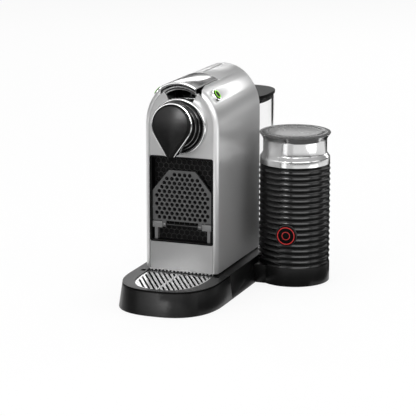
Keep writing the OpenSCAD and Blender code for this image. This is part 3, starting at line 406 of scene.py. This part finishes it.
def glossOnly(bm, name, tone):
    # a glowing cloth that only gloss sees; its tone may change with height
    cloth = newObject(bm, name)
    cloth.visible_camera = cloth.visible_diffuse = cloth.visible_shadow = False
    cloth.visible_transmission = False
    mat = bpy.data.materials.new(name + "Cloth")
    mat.use_nodes = True
    tree = mat.node_tree
    tree.nodes.remove(tree.nodes["Principled BSDF"])
    place, axes = tree.nodes.new("ShaderNodeTexCoord"), tree.nodes.new("ShaderNodeSeparateXYZ")
    level, glow = tree.nodes.new("ShaderNodeMapRange"), tree.nodes.new("ShaderNodeEmission")
    tree.links.new(place.outputs["Object"], axes.inputs[0])
    tree.links.new(axes.outputs["Z"], level.inputs["Value"])
    level.inputs["From Min"].default_value, level.inputs["From Max"].default_value = flags["fade"]
    level.inputs["To Min"].default_value, level.inputs["To Max"].default_value = tone["dark"], tone["bright"]
    tree.links.new(level.outputs["Result"], glow.inputs["Strength"])
    tree.links.new(glow.outputs[0], tree.nodes["Material Output"].inputs["Surface"])
    cloth.data.materials.append(mat)


def hangFlags():
    # they keep black black between the lamps; the cone is closed at the top and faces inwards
    bm = bmesh.new()
    bmesh.ops.create_cone(bm, cap_ends=False, segments=96, radius1=flags["radius"],
                          radius2=flags["radius"] * flags["narrow"], depth=flags["high"] - flags["low"])
    bmesh.ops.translate(bm, vec=(0, 0, (flags["low"] + flags["high"]) / 2), verts=bm.verts)
    bmesh.ops.holes_fill(bm, edges=[e for e in bm.edges if e.is_boundary and e.verts[0].co.z > 1], sides=200)
    bmesh.ops.reverse_faces(bm, faces=bm.faces)
    glossOnly(bm, "flags", flags)


# sheets that only gloss sees: how bright each is, and its corners
cardLift = 0.0004    # keeps those on the floor clear of it
cards = (dict(level=0.2, at=((-1.3, -2.3, 0), (-0.6, -2.3, 0), (0.03, -0.1, 0), (-0.3, -0.1, 0),
                             (-0.7, -0.6, 0))),                         # grey floor before the machine
         dict(level=0.35, at=((-0.4, 0.35, 0), (0.35, 0.3, 0), (0.95, 2.2, 0),
                              (-0.9, 2.2, 0))),                         # grey floor behind it
         dict(level=0.02, at=((0.03, 0.19, 0.0004), (0.18, 0.19, 0.0004), (0.28, 0.5, 0.0004),
                              (0.37, 0.86, 0.0004), (0.42, 1.15, 0.0004),
                              (0.08, 1.15, 0.0004))),                   # black floor behind the frother
         dict(level=4.0, at=((0.47, -1.74, 0.45), (1.74, -0.47, 0.45), (1.74, -0.47, 1.6),
                             (0.47, -1.74, 1.6))),                      # bright, at the front on the right
         dict(level=0.1, at=((0.07, -0.07, 0), (0.22, -0.24, 0), (0.42, -0.16, 0), (0.5, 0.3, 0),
                             (0.17, 0.25, 0), (0.155, 0.1, 0),
                             (0.07, 0.1, 0))),                          # dark floor beside the frother
         dict(level=0.08, at=((-0.45, 2.0, 0.95), (0.12, 2.0, 0.95), (0.12, 2.0, 1.25),
                              (-0.45, 2.0, 1.25))),                     # dark, behind the machine
         dict(level=26.0, at=((-0.56, -2.42, 0.83), (-0.1, -2.5, 0.83), (-0.1, -2.44, 1.25),
                              (-0.56, -2.36, 1.25))),                   # for the bright spot on the nose
         dict(level=3.0, at=((0.6, -0.2, 0), (1.5, -0.35, 0), (1.5, 0.3, 0),
                             (0.6, 0.2, 0))),                           # bright floor on the right
         dict(level=1.5, at=((0.0, -0.13, 0.035), (0.07, -0.13, 0.035), (0.07, -0.13, 0.16),
                             (0.0, -0.13, 0.16))),                      # small, before the recess
         dict(level=0.7, at=((0.07, -0.13, 0.035), (0.16, -0.12, 0.035), (0.16, -0.12, 0.16),
                             (0.07, -0.13, 0.16))))                     # small, before the frother


def layCards():
    for count, card in enumerate(cards):
        bm = bmesh.new()
        bm.faces.new([bm.verts.new((x, y, z + cardLift)) for x, y, z in card["at"]])
        glossOnly(bm, "card%d" % count, dict(dark=card["level"], bright=card["level"]))


placeCamera()
lightRoom()
layFloor()
hangFlags()
layCards()
scene.view_settings.view_transform = "Standard"
print("camera, lights and floor placed")

bodyLow, bodyHigh = corners("right_shell")
shell = dict(half=bodyHigh.x, top=bodyHigh.z, depth=bodyHigh.y, foot=bodyLow.z, rise=57.0, wall=2.6, rim=6.0,
             sweep=89.93, steps=64, edge=0.35)    # the sweep stops short of the middle, for the seam
shell["spring"] = shell["top"] - shell["rise"]


def archBend(verts):
    # stretches a round arch into the body's taller one and lifts it to its height
    for vert in verts:
        reach = hypot(vert.co.x, vert.co.z)
        if vert.co.z > 0 and reach > 0:
            vert.co.z *= (reach + shell["rise"] - shell["half"]) / reach
        vert.co.z += shell["spring"]


def archSolid(bm, line, start, sweep, steps, foot=None):
    # line is a closed outline of (y, inset) points, carried round the arch and down to the foot
    verts = [bm.verts.new((shell["half"] - inset, y, 0)) for y, inset in line]
    face = bm.faces.new(verts)
    bmesh.ops.rotate(bm, cent=(0, 0, 0), matrix=Matrix.Rotation(-radians(start), 3, "Y"), verts=verts)
    bmesh.ops.spin(bm, geom=[face] + list(face.edges) + verts, cent=(0, 0, 0), axis=(0, -1, 0),
                   angle=radians(sweep), steps=steps)
    ends = [f for f in bm.faces if len(f.verts) == len(line)]
    archBend(bm.verts)
    if foot is not None:
        for end in ends:
            if max(abs(v.co.z - shell["spring"]) for v in end.verts) < 0.01:
                for vert in onlyVerts(extrude(bm, [end])):
                    vert.co.z = foot
                bmesh.ops.delete(bm, geom=[end], context="FACES")
    outward(bm)


def wallLine():
    # the body's wall with its round front rim, as (y, inset) points
    depth, rim, wall = shell["depth"], shell["rim"], shell["wall"]
    line = [(depth, 0)]
    line += [(rim - rim * sin(radians(a)), rim - rim * cos(radians(a))) for a in range(0, 91, 10)]
    return line + [(wall, rim), (wall, wall), (depth, wall)]


button = dict(angle=49.0, y=23.0, ring=8.2, cap=6.2, proud=4.6)


def buttonPlace():
    # on the arch at the button's angle, square to the surface
    half, rise, angle = shell["half"], shell["rise"], radians(button["angle"])
    lean = atan2(rise * sin(angle), half * cos(angle))
    return (Matrix.Translation((half * sin(angle), button["y"], shell["spring"] + rise * cos(angle)))
            @ Matrix.Rotation(lean, 4, "Y"))


def mirrorLeft(bm, side):
    # the left piece is the right one mirrored
    if side < 0:
        bmesh.ops.scale(bm, vec=(-1, 1, 1), verts=bm.verts)
        bmesh.ops.reverse_faces(bm, faces=bm.faces)


opening = dict(half=23.6, rear=67.8,                                        # under the lever
               slotIn=22.4, slotRear=74.0, slotFront=60.0,                  # beside the lever's rear end
               ventHalf=1.1, ventFrom=79.5, ventTo=151.0, ventLow=260.0,    # along the top
               wedge=27.5, wedgeIn=20.0, wedgeRear=22.0,                    # wider towards the front
               before=20.0, over=5.0, low=238.0, high=300.0, hole=24.0)     # how far the cutters reach


def shellHalf(side, word):
    half, low, high, before = opening["half"], opening["low"], opening["high"], opening["before"]
    bm = bmesh.new()
    archSolid(bm, wallLine(), 0, shell["sweep"], shell["steps"], shell["foot"])
    tool = bmesh.new()
    block(tool, (-opening["over"], -before, low), (half, opening["rear"], high))
    block(tool, (opening["slotIn"], opening["slotFront"], low), (half, opening["slotRear"], high))
    block(tool, (-opening["over"], opening["ventFrom"], opening["ventLow"]),
          (opening["ventHalf"], opening["ventTo"], high))
    wedge = block(tool, (opening["wedgeIn"], -before, low), (opening["wedge"], opening["wedgeRear"], high))
    for vert in wedge:
        if vert.co.x > half and vert.co.y > 0:
            vert.co.x = half - 0.1
        elif vert.co.x > half:
            vert.co.x = opening["wedge"] + before * (opening["wedge"] - half) / opening["wedgeRear"]
    radius = button["ring"] + 0.1
    hole = bmesh.ops.create_cone(tool, cap_ends=True, segments=64, radius1=radius, radius2=radius,
                                 depth=opening["hole"])["verts"]
    bmesh.ops.transform(tool, matrix=buttonPlace(), verts=hole)
    bm = carve(bm, tool)
    roundEdges(bm, shell["edge"], over=34)
    mirrorLeft(bm, side)
    finishPiece(bm, word + "Shell", "machine", silverPaint, (word + "_shell",))


shellHalf(1, "right")
shellHalf(-1, "left")
print("body shells made")

panelLow, panelHigh = corners("front_panel")
collarLow, collarHigh = corners("head_collar")
headZ = (collarLow.z + collarHigh.z) / 2
panel = dict(inset=6.15, front=panelLow.y, back=panelHigh.y, foot=panelLow.z, steps=96, hole=31.0, edge=0.3)
notch = dict(half=16.0, wide=25.0, low=252.0, high=268.0, top=290.0, before=5.0, depth=20.0)


def atHead(z):
    # an outline's height then runs forward from the panel
    return Matrix.Translation((0, panel["front"], z)) @ Matrix.Rotation(pi / 2, 4, "X")


def panelOutline(bm):
    # an arch of edges just inside the front rim, closed along its foot
    first = bm.verts.new((shell["half"] - panel["inset"], panel["front"], 0))
    bmesh.ops.spin(bm, geom=[first], cent=(0, panel["front"], 0), axis=(0, -1, 0), angle=pi,
                   steps=panel["steps"])
    archBend(bm.verts)
    ends = [v for v in bm.verts if len(v.link_edges) == 1]
    for vert in bmesh.ops.extrude_vert_indiv(bm, verts=ends)["verts"]:
        vert.co.z = panel["foot"]
    bm.edges.new([v for v in bm.verts if abs(v.co.z - panel["foot"]) < 0.01])


def frontPanel():
    bm = bmesh.new()
    panelOutline(bm)
    face = bmesh.ops.contextual_create(bm, geom=bm.edges[:])["faces"]
    extrude(bm, face, (0, panel["back"] - panel["front"], 0))
    outward(bm)
    tool = bmesh.new()
    bmesh.ops.create_cone(tool, cap_ends=True, segments=96, radius1=panel["hole"], radius2=panel["hole"],
                          depth=30)
    move(tool, atHead(headZ))
    right = [(notch["half"], notch["low"]), (notch["wide"], notch["high"]), (notch["wide"], notch["top"])]
    line = right + [(-x, z) for x, z in right[::-1]]
    face = tool.faces.new([tool.verts.new((x, -notch["before"], z)) for x, z in line])
    extrude(tool, [face], (0, notch["depth"], 0))
    outward(tool)
    bm = carve(bm, tool)
    roundEdges(bm, panel["edge"], over=34)
    finishPiece(bm, "frontPanel", "machine", panelShadedPaint, ("front_panel",))


frontPanel()

# each disc of the drum: radius, near and far face before the panel, and how far it is raised
head = dict(collarOuter=collarHigh.x, collarInner=32.9, collarOut=panel["front"] - collarLow.y,
            discs=((32.6, 0, 7.0, 0), (30.6, 4, 15.0, 1.6), (28.4, 12, 22.5, 3.4)), edge=1.5, land=5.0,
            dish=0.4, bead=0.45, beadIn=0.1)

# the nose: its body, a bright trim of which a thin line shows, a bevelled cover and a domed face
nose = dict(y=-32.1, z=228.0, tilt=7.5, taper=34.0, radius=26.6, drop=46.0, tip=0.3, steps=72,
            foot=corners("head_drum")[0].z, back=14.4, step=0.8, trim=0.9, line=0.9, bevel=2.9, squat=0.98,
            gap=0.02, sunk=0.1, dome=115.0, below=0.6, rings=8, bodyEdge=0.5, trimEdge=0.4)


def atNose():
    return (Matrix.Translation((0, nose["y"], nose["z"]))
            @ Matrix.Rotation(radians(90 - nose["tilt"]), 4, "X"))


def headCollar():
    inner, outer, out = head["collarInner"], head["collarOuter"], head["collarOut"]
    bm = turned([(inner, 0), (outer, 0), (outer, out - 1.6), (outer - 0.3, out - 0.8),
                 (outer - 0.9, out - 0.2), (outer - 1.5, out), (inner + 0.5, out), (inner, out - 0.5)],
                atHead(headZ), 128)
    finishPiece(bm, "headCollar", "machine", collarSilver, ("head_collar",))


def headDrum():
    drum, highlightBeads = bmesh.new(), bmesh.new()
    edge, land, dish, bead = head["edge"], head["land"], head["dish"], head["bead"]
    for radius, near, far, lift in head["discs"]:
        place = atHead(headZ + lift)
        line = [(0, near), (radius, near), (radius, far - edge), (radius - 0.13 * edge, far - 0.5 * edge),
                (radius - 0.5 * edge, far - 0.13 * edge), (radius - edge, far), (radius - land, far - dish),
                (0, far - dish)]
        joinTo(drum, turned(line, place, 128, closed=False))
        back = bead + head["beadIn"]    # a thin ring lies along the disc's front edge, a painted highlight on the black edge
        line = [(radius - back + bead * cos(radians(a)), far - back + bead * sin(radians(a)))
                for a in range(0, 360, 45)]
        joinTo(highlightBeads, turned(line, place, 128))
    finishPiece(drum, "headDrum", "machine", drumBlack, ("head_drum",))
    finishPiece(highlightBeads, "drumHighlightBeads", "machine", beadHighlightChrome)


def tear(bm, radius, z, scale=1.0):
    # a ring of points: a round top whose sides run down straight to a narrow foot
    t, steps = radians(nose["taper"]), nose["steps"]
    drop = min(nose["drop"], (radius - nose["tip"]) / sin(t))
    foot = (radius - drop * sin(t)) / cos(t)
    angles = [(pi + 2 * t) * k / steps - t for k in range(steps + 1)]
    line = [(foot, -drop)] + [(radius * cos(a), radius * sin(a)) for a in angles] + [(-foot, -drop)]
    return [bm.verts.new((x * scale, y * scale, z)) for x, y in line]


def loft(bm, rings):
    # walls between rings of points, closed at both ends
    for low, high in zip(rings, rings[1:]):
        for k in range(len(low)):
            bm.faces.new((low[k - 1], low[k], high[k], high[k - 1]))
    bm.faces.new(rings[0])
    bm.faces.new(rings[-1])
    outward(bm)


def finishNose(bm, name, material, replaces=(), edge=0):
    # leans the shape, cuts its foot level and closes it
    move(bm, atNose())
    split(bm, (0, 0, nose["foot"]), (0, 0, -1), drop=True)
    outward(bm)
    if edge:
        roundEdges(bm, edge)
    finishPiece(bm, name, "machine", material, replaces)


def noseShape():
    rim, width, high = nose["radius"] - nose["line"], nose["bevel"], nose["bevel"] * nose["squat"]
    bm = bmesh.new()
    loft(bm, [tear(bm, nose["radius"] - nose["step"], z) for z in (-nose["back"], -nose["trim"])])
    finishNose(bm, "noseBody", blackGloss, edge=nose["bodyEdge"])
    bm = bmesh.new()
    loft(bm, [tear(bm, nose["radius"], z) for z in (-nose["trim"], 0)])
    roundEdges(bm, nose["trimEdge"], steps=3)
    finishNose(bm, "noseTrim", chrome, ("nose_trim",))
    bm = bmesh.new()
    loft(bm, [tear(bm, rim - width * (1 - cos(radians(a))), nose["gap"] + high * sin(radians(a)))
              for a in range(0, 91, 15)])
    finishNose(bm, "noseCover", noseEdge, ("nose_cover",))
    bm = bmesh.new()
    inside, count = rim - width - nose["sunk"], nose["rings"]
    rings = [tear(bm, inside, high - 0.4)]
    rings += [tear(bm, inside, high + nose["sunk"], 1 - k / count) for k in range(count)]
    for vert in [v for ring in rings[1:] for v in ring]:
        along = vert.co.y if vert.co.y > 0 else nose["below"] * vert.co.y
        vert.co.z += (rim ** 2 - vert.co.x ** 2 - along ** 2) / (2 * nose["dome"])
    loft(bm, rings)
    finishNose(bm, "noseFace", noseBlack)


spout = dict(bore=3.4, radius=5.4, length=5.6, lip=0.2)


def coffeeSpout():
    low, high = corners("coffee_spout")
    bore, radius, length, lip = spout["bore"], spout["radius"], spout["length"], spout["lip"]
    bm = turned([(bore, 0), (bore + 0.4, -lip), (radius - 0.5, -lip), (radius, 0.3), (radius, length),
                 (bore, length)],
                Matrix.Translation(((low.x + high.x) / 2, (low.y + high.y) / 2, low.z + lip)), 64)
    finishPiece(bm, "coffeeSpout", "machine", capBlack, ("coffee_spout",))


headCollar()
headDrum()
noseShape()
coffeeSpout()
print("head and nose made")

# the lip's points are given as (distance behind the front edge, depth below the outside)
lever = dict(half=22.4, front=-8.5, rear=67.0, proud=0.8, wall=2.0, roll=1.8, sweep=31.0, steps=40, edge=0.3,
             lip=((0.5, 3.4), (1.7, 5.6), (3.6, 7.6), (6.4, 9.2), (9.6, 10.0), (9.6, 11.0), (11.2, 11.0),
                  (11.2, 8.4), (7.2, 7.6), (4.6, 6.2), (3.2, 4.6)))


def leverCover():
    # the outline runs forward outside, round the front roll and the lip, and back inside
    front, rear, out = lever["front"], lever["rear"], -lever["proud"]
    wall, roll = lever["wall"], lever["roll"]
    line = [(rear, out)]
    line += [(front + roll - roll * sin(radians(a)), out + roll - roll * cos(radians(a)))
             for a in range(0, 91, 15)]
    line += [(front + behind, out + deep) for behind, deep in lever["lip"]]
    line += [(front + 3.4, out + wall + 0.4), (front + 5, out + wall), (rear, out + wall)]
    bm = bmesh.new()
    archSolid(bm, line, 90 - lever["sweep"], 2 * lever["sweep"], lever["steps"])
    for side in (-1, 1):
        split(bm, (side * lever["half"], 0, 0), (side, 0, 0), drop=True)
    outward(bm)
    roundEdges(bm, lever["edge"], steps=3, over=40)
    finishPiece(bm, "leverCover", "lever", leverChrome, ("lever_cover",))


def buttonPiece(side, line, name, body, material, replaces=(), closed=True):
    bm = turned(line, buttonPlace(), 72, closed)
    mirrorLeft(bm, side)
    finishPiece(bm, name, body, material, replaces)


def pushButton(side, word):
    ring, cap, out = button["ring"], button["cap"], button["proud"]
    line = [(cap + 0.25, -6.4), (ring + 0.8, -6.4), (ring + 0.8, -4.8), (ring, -4.8), (ring, out - 2.6),
            (ring - 0.2, out - 1.9), (ring - 0.7, out - 1.45), (ring - 1.2, out - 1.4),
            (cap + 0.25, out - 1.8)]
    buttonPiece(side, line, word + "ButtonRing", "machine", chrome, (word + "_button_ring",))
    line = [(0, -3), (cap, -3), (cap, out - 0.7), (cap - 0.5, out - 0.25), (cap - 1.6, out),
            (cap - 1.9, out - 0.35), (0, out - 0.75)]
    buttonPiece(side, line, word + "Button", word + "_cap", capBlack, (word + "_button",),
                closed=False)
    line = [(cap - 1.75, out - 0.35), (cap - 0.55, out - 0.15), (cap - 0.5, out + 0.02),
            (cap - 1.05, out + 0.2), (cap - 1.75, out + 0.02)]
    buttonPiece(side, line, word + "ButtonGlow", word + "_cap", limeGlow)


leverCover()
pushButton(1, "right")
pushButton(-1, "left")
print("lever and buttons made")

recessLow, recessHigh = corners("backsplash")
recess = dict(half=recessHigh.x, low=recessLow.z, high=recessHigh.z, front=recessLow.y, back=recessHigh.y,
              wall=2.4, floor=12.0, corner=3.2, edge=0.3)
comb = dict(pitch=7.0, ridge=0.35, pit=1.0, foot=5.5, sideGap=0.6, topGap=0.5)
fillet = dict(radius=3.0, out=0.4, depth=2.0)


def backsplash():
    # a round-cornered tray on its side: the front is opened and sunk to the floor's depth
    half, wall = recess["half"], recess["wall"]
    bm = bmesh.new()
    block(bm, (-half, recess["front"], recess["low"]), (half, recess["back"], recess["high"]))
    upright = [e for e in bm.edges if abs(e.verts[0].co.y - e.verts[1].co.y) > 1]
    bmesh.ops.bevel(bm, geom=upright, offset=recess["corner"], offset_type="OFFSET", segments=6, profile=0.5,
                    affect="EDGES", material=-1)
    face = min(bm.faces, key=lambda f: f.calc_center_median().y)
    bmesh.ops.inset_region(bm, faces=[face], thickness=wall, use_even_offset=True)
    face = min((f for f in bm.faces if len(f.verts) > 8), key=lambda f: f.calc_center_median().y)
    extrude(bm, [face], (0, recess["floor"] - recess["front"], 0))
    bmesh.ops.delete(bm, geom=[face], context="FACES")
    outward(bm)
    roundEdges(bm, recess["edge"], over=50)
    finishPiece(bm, "backsplash", "drawer", combBlack, ("backsplash",))


def honeycomb():
    # rows of six-sided cells: their rims stay as ridges, their middles are taken out
    pitch, half = comb["pitch"], recess["half"] - recess["wall"] - comb["sideGap"]
    row, reach = pitch * 3 ** 0.5 / 2, pitch / 3 ** 0.5
    low, top = recess["low"] + comb["foot"], recess["high"] - recess["wall"] - comb["topGap"]
    rows, cells = int((top - reach - low) / row) + 1, int(half / pitch) + 1
    bm = bmesh.new()
    for j in range(rows):
        z = low + j * row
        for i in range(-cells, cells + 1):
            x = (i + (j % 2) / 2) * pitch
            if abs(x) + pitch / 2 < half:
                ring = bmesh.ops.create_circle(bm, cap_ends=True, segments=6, radius=reach)["verts"]
                bmesh.ops.rotate(bm, cent=(0, 0, 0), matrix=Matrix.Rotation(pi / 2, 3, "X"), verts=ring)
                bmesh.ops.translate(bm, vec=(x, recess["floor"] - comb["pit"], z), verts=ring)
    bmesh.ops.remove_doubles(bm, verts=bm.verts, dist=0.05)
    bmesh.ops.inset_individual(bm, faces=bm.faces[:], thickness=comb["ridge"], depth=0)
    bmesh.ops.delete(bm, geom=[f for f in bm.faces if len(f.verts) == 6], context="FACES")
    extrude(bm, bm.faces[:], (0, comb["pit"] + 0.1, 0))
    outward(bm)
    # the ridges' lighter black is painted light
    finishPiece(bm, "recessHoneycomb", "drawer", ridgeLitBlack, smooth=20)


def cornerFillets(name, body, material, z, up):
    # small silver webs that round the recess's corners
    bm, r, half = bmesh.new(), fillet["radius"], recess["half"] + fillet["out"]
    line = [(0, 0)] + [(r - r * sin(radians(a)), r - r * cos(radians(a))) for a in range(0, 91, 15)]
    for side in (-1, 1):
        face = bm.faces.new([bm.verts.new((side * (half - x), panel["front"], z + up * y)) for x, y in line])
        extrude(bm, [face], (0, fillet["depth"], 0))
    outward(bm)
    finishPiece(bm, name, body, material)


backsplash()
honeycomb()
cornerFillets("panelCorners", "machine", panelShadedPaint, panel["foot"], -1)
cornerFillets("binCorners", "drawer", binShadedPaint, recess["low"] - fillet["out"], 1)
print("recess made")

# copies of CAD nodes with eased edges; the last number is the width of the easing
for node, name, body, slot, material, width in (
        ("bin_front", "binFront", "drawer", "silver_paint", binShadedPaint, 0.25),
        ("hinge_blocks", "hingeBlocks", "drawer", "grey_plastic", greyPlastic, 0.3),
        ("cup_shelf", "cupShelf", "shelf", "dark_plastic", shelfPlastic, 0.3),
        ("base_shell", "baseShell", "machine", "black_plastic", blackPlastic, 0.7),
        ("frother_dock", "frotherDock", "machine", "black_plastic", blackPlastic, 0.7),
        ("drip_grid", "dripGrid", "grid", "steel", gridSteel, 0.5),
        ("rear_cover", "rearCover", "machine", "dark_plastic", darkPlastic, 0.3),
        ("tank_lid", "tankLid", "tank_cover", "dark_plastic", capBlack, 0.7),
        ("water_tank", "waterTank", "tank", "clear_plastic", clearPlastic, 0.3),
        ("whisk", "whisk", "stirrer", "steel", steel, 0.1)):
    finishPiece(softened(node, width), name, body, material, (node,))
print("shelf, base, grid, cover and tank made")

# a shadow groove between two heights, as far back as the joint, with a thin black strip of painted shade in
# it (line is its thickness); the straight sides start behind the nose
tray = dict(low=29.4, high=31.2, deep=1.0, joint=9.0, straight=18.75, wallFrom=55.0, edge=0.5, line=0.3)


def fromMiddle(point):
    # the way out from the tray's middle line, or from the centre of its round nose
    return Vector((point.x, min(0, point.y + tray["straight"]), 0))


def dripTray():
    # a copy of the tray with a shadow groove round its outer wall, under the rim; a thin black strip in the
    # groove is painted shade
    bm = softened("drip_tray", 0)
    for z in (tray["low"], tray["high"]):
        split(bm, (0, 0, z), (0, 0, 1))
    band = []
    for face in bm.faces:
        middle = face.calc_center_median()
        out = fromMiddle(middle)
        inBand = tray["low"] < middle.z < tray["high"] and middle.y < tray["joint"]
        upright = abs(face.normal.z) < 0.5
        if inBand and upright and out.length > tray["wallFrom"] and face.normal.dot(out) > 0:
            band.append(face)
    made = extrude(bm, band)
    bmesh.ops.delete(bm, geom=band, context="FACES")
    # the black strip of painted shade, near the groove's bottom
    line, copies = bmesh.new(), {}
    for vert in onlyVerts(made):
        out = fromMiddle(vert.co).normalized()
        copies[vert] = line.verts.new(vert.co - out * (tray["deep"] - tray["line"] / 2))
        vert.co -= out * tray["deep"]
    for face in [g for g in made if isinstance(g, bmesh.types.BMFace)]:
        line.faces.new([copies[v] for v in face.verts])
    bmesh.ops.solidify(line, geom=line.faces[:], thickness=tray["line"])
    outward(line)
    finishPiece(line, "trayPaintedShadeLine", "drawer", capBlack)
    roundEdges(bm, tray["edge"], over=50)
    finishPiece(bm, "dripTray", "drawer", blackPlastic, ("drip_tray",))


dripTray()
print("drip tray made")

frothLow, frothHigh = corners("frother_casing")
froth = dict(x=(frothLow.x + frothHigh.x) / 2, y=134.8, radius=(frothHigh.x - frothLow.x) / 2,
             base=frothLow.z, top=frothHigh.z, ribDepth=1.15, ribPitch=7.3, ribSteps=12, inner=41.6,
             floor=35.6, socket=12.3)
knob = dict(z=69.0, turn=5.0, radius=12.5, gap=1.45, rings=((10.9, 0.6), (5.0, 0.45)))
jugLow, jugHigh = corners("frother_jug")
jug = dict(band=45.5, neck=41.4, body=40.6, rim=froth["radius"] - 0.9, wall=1.4, floor=jugLow.z,
           seat=156.8, bandTop=164.6, neckFoot=171.3, neckTop=187.2, top=jugHigh.z)
lid = dict(radius=froth["radius"], z=jugHigh.z + 0.3, sealIn=35.4, sealOut=37.8, sealDeep=3.0, step=38.4,
           sheenDisc=34.2)


def frothAt():
    return Matrix.Translation((froth["x"], froth["y"], 0))


def knobAt(out=0):
    # an outline's height then runs out from the casing's middle towards the knob
    return (frothAt() @ Matrix.Translation((0, 0, knob["z"])) @ Matrix.Rotation(radians(knob["turn"]), 4, "Z")
            @ Matrix.Rotation(pi / 2, 4, "X") @ Matrix.Translation((0, 0, out)))


def frotherCasing():
    radius, base, top, depth = froth["radius"], froth["base"], froth["top"], froth["ribDepth"]
    steps, inner, floor, socket = froth["ribSteps"], froth["inner"], froth["floor"], froth["socket"]
    line = [(socket, base), (radius - 1.0, base), (radius - 0.3, base + 0.3)]
    for k in range(1, steps * (int((top - base) / froth["ribPitch"]) + 1)):
        z = base + k * froth["ribPitch"] / steps
        if z < top - 0.3:
            line.append((radius - depth * abs(sin(pi * k / steps)) ** 0.8, z))
    line += [(radius - depth, top), (inner, top), (inner, floor), (socket, floor)]
    tool = bmesh.new()
    hole = knob["radius"] + knob["gap"]
    bmesh.ops.create_cone(tool, cap_ends=True, segments=64, radius1=hole, radius2=hole, depth=40)
    move(tool, knobAt(radius))
    bm = carve(turned(line, frothAt()), tool)
    finishPiece(bm, "frotherCasing", "frother", frothBlack, ("frother_casing",), smooth=50)


def frotherButton():
    r, out = knob["radius"], froth["radius"]
    bm = turned([(r + 0.3, out - 3.6), (r + 1.4, out - 3.6), (r + 1.4, out - 0.3), (r + 1.1, out + 0.1),
                 (r + 0.6, out + 0.2), (r + 0.3, out - 0.1)], knobAt())
    finishPiece(bm, "frotherBezel", "frother", darkPlastic, ("frother_bezel",))
    bm = turned([(0, out - 1.4), (r, out - 1.4), (r, out + 0.8), (r - 0.3, out + 1.2), (r - 0.9, out + 1.4),
                 (0, out + 1.4)], knobAt(), closed=False)
    finishPiece(bm, "frotherButton", "frother_cap", capBlack, ("frother_button",))
    bm = bmesh.new()
    for radius, width in knob["rings"]:
        joinTo(bm, turned([(radius - width, out + 1.35), (radius + width, out + 1.35),
                           (radius + width * 0.8, out + 1.5), (radius - width * 0.8, out + 1.5)],
                          knobAt(), 72))
    finishPiece(bm, "frotherButtonRings", "frother_cap", redGlow)


def frotherJug():
    band, neck, body, rim, wall = jug["band"], jug["neck"], jug["body"], jug["rim"], jug["wall"]
    floor, seat, bandTop, top = jug["floor"], jug["seat"], jug["bandTop"], jug["top"]
    foot, high = jug["neckFoot"], jug["neckTop"]
    # the outline goes up outside: body, band, neck and turned-out rim, and comes down inside
    line = [(0, floor), (body - 2, floor), (body, floor + 3), (body, seat)]
    line += [(band - 0.4, seat), (band, seat + 0.4), (band, bandTop), (band - 0.25, bandTop + 0.9),
             (band - 1.2, bandTop + 2.0)]
    line += [(neck + 1.6, foot - 2.7), (neck + 1.0, foot - 1.9), (neck + 0.25, foot - 1.1), (neck, foot),
             (neck, high), (neck + 0.3, high + 1.6), (neck + 1.2, high + 3.4), (neck + 2.6, high + 5.6)]
    line += [(rim - 0.3, top - 0.8), (rim, top - 0.3), (rim - 0.2, top), (rim - 1.1, top)]
    line += [(neck - 0.1, high + 3.6), (neck - wall, high + 0.8), (neck - wall, foot),
             (body - wall, bandTop + 0.9), (body - wall, floor + 4), (body - wall - 3, floor + wall),
             (0, floor + wall)]
    bm = turned(line, frothAt(), 128, closed=False)
    finishPiece(bm, "frotherJug", "frother", steel, ("frother_jug",), smooth=28)


def frotherLid():
    r, z, sheenDisc, step = lid["radius"], lid["z"], lid["sheenDisc"], lid["step"]
    inner, outer, deep = lid["sealIn"], lid["sealOut"], lid["sealDeep"]
    bm = turned([(0, z + 0.3), (inner, z + 0.3), (inner, z - deep), (outer, z - deep), (outer, z),
                 (r - 0.5, z), (r, z + 0.6), (r - 0.1, z + 1.3), (r - 0.6, z + 2.0), (r - 1.6, z + 2.4),
                 (step, z + 2.4), (step - 1.0, z + 2.2), (step - 2.4, z + 1.7), (step - 3.4, z + 1.6),
                 (0, z + 1.6)], frothAt(), 128, closed=False)
    finishPiece(bm, "frotherLid", "frother_cover", smokedPlastic, ("frother_lid",))
    # painted reflection: a light grey disc under the lid's top stands in for the light its flat top reflects
    bm = turned([(0, z + 1.5), (sheenDisc, z + 1.5), (sheenDisc, z + 1.68), (sheenDisc - 0.3, z + 1.72),
                 (0, z + 1.72)], frothAt(), 128, closed=False)
    finishPiece(bm, "frotherLidSheenDisc", "frother_cover", lidSheenGrey)


frotherCasing()
frotherButton()
frotherJug()
frotherLid()
print("frother made")
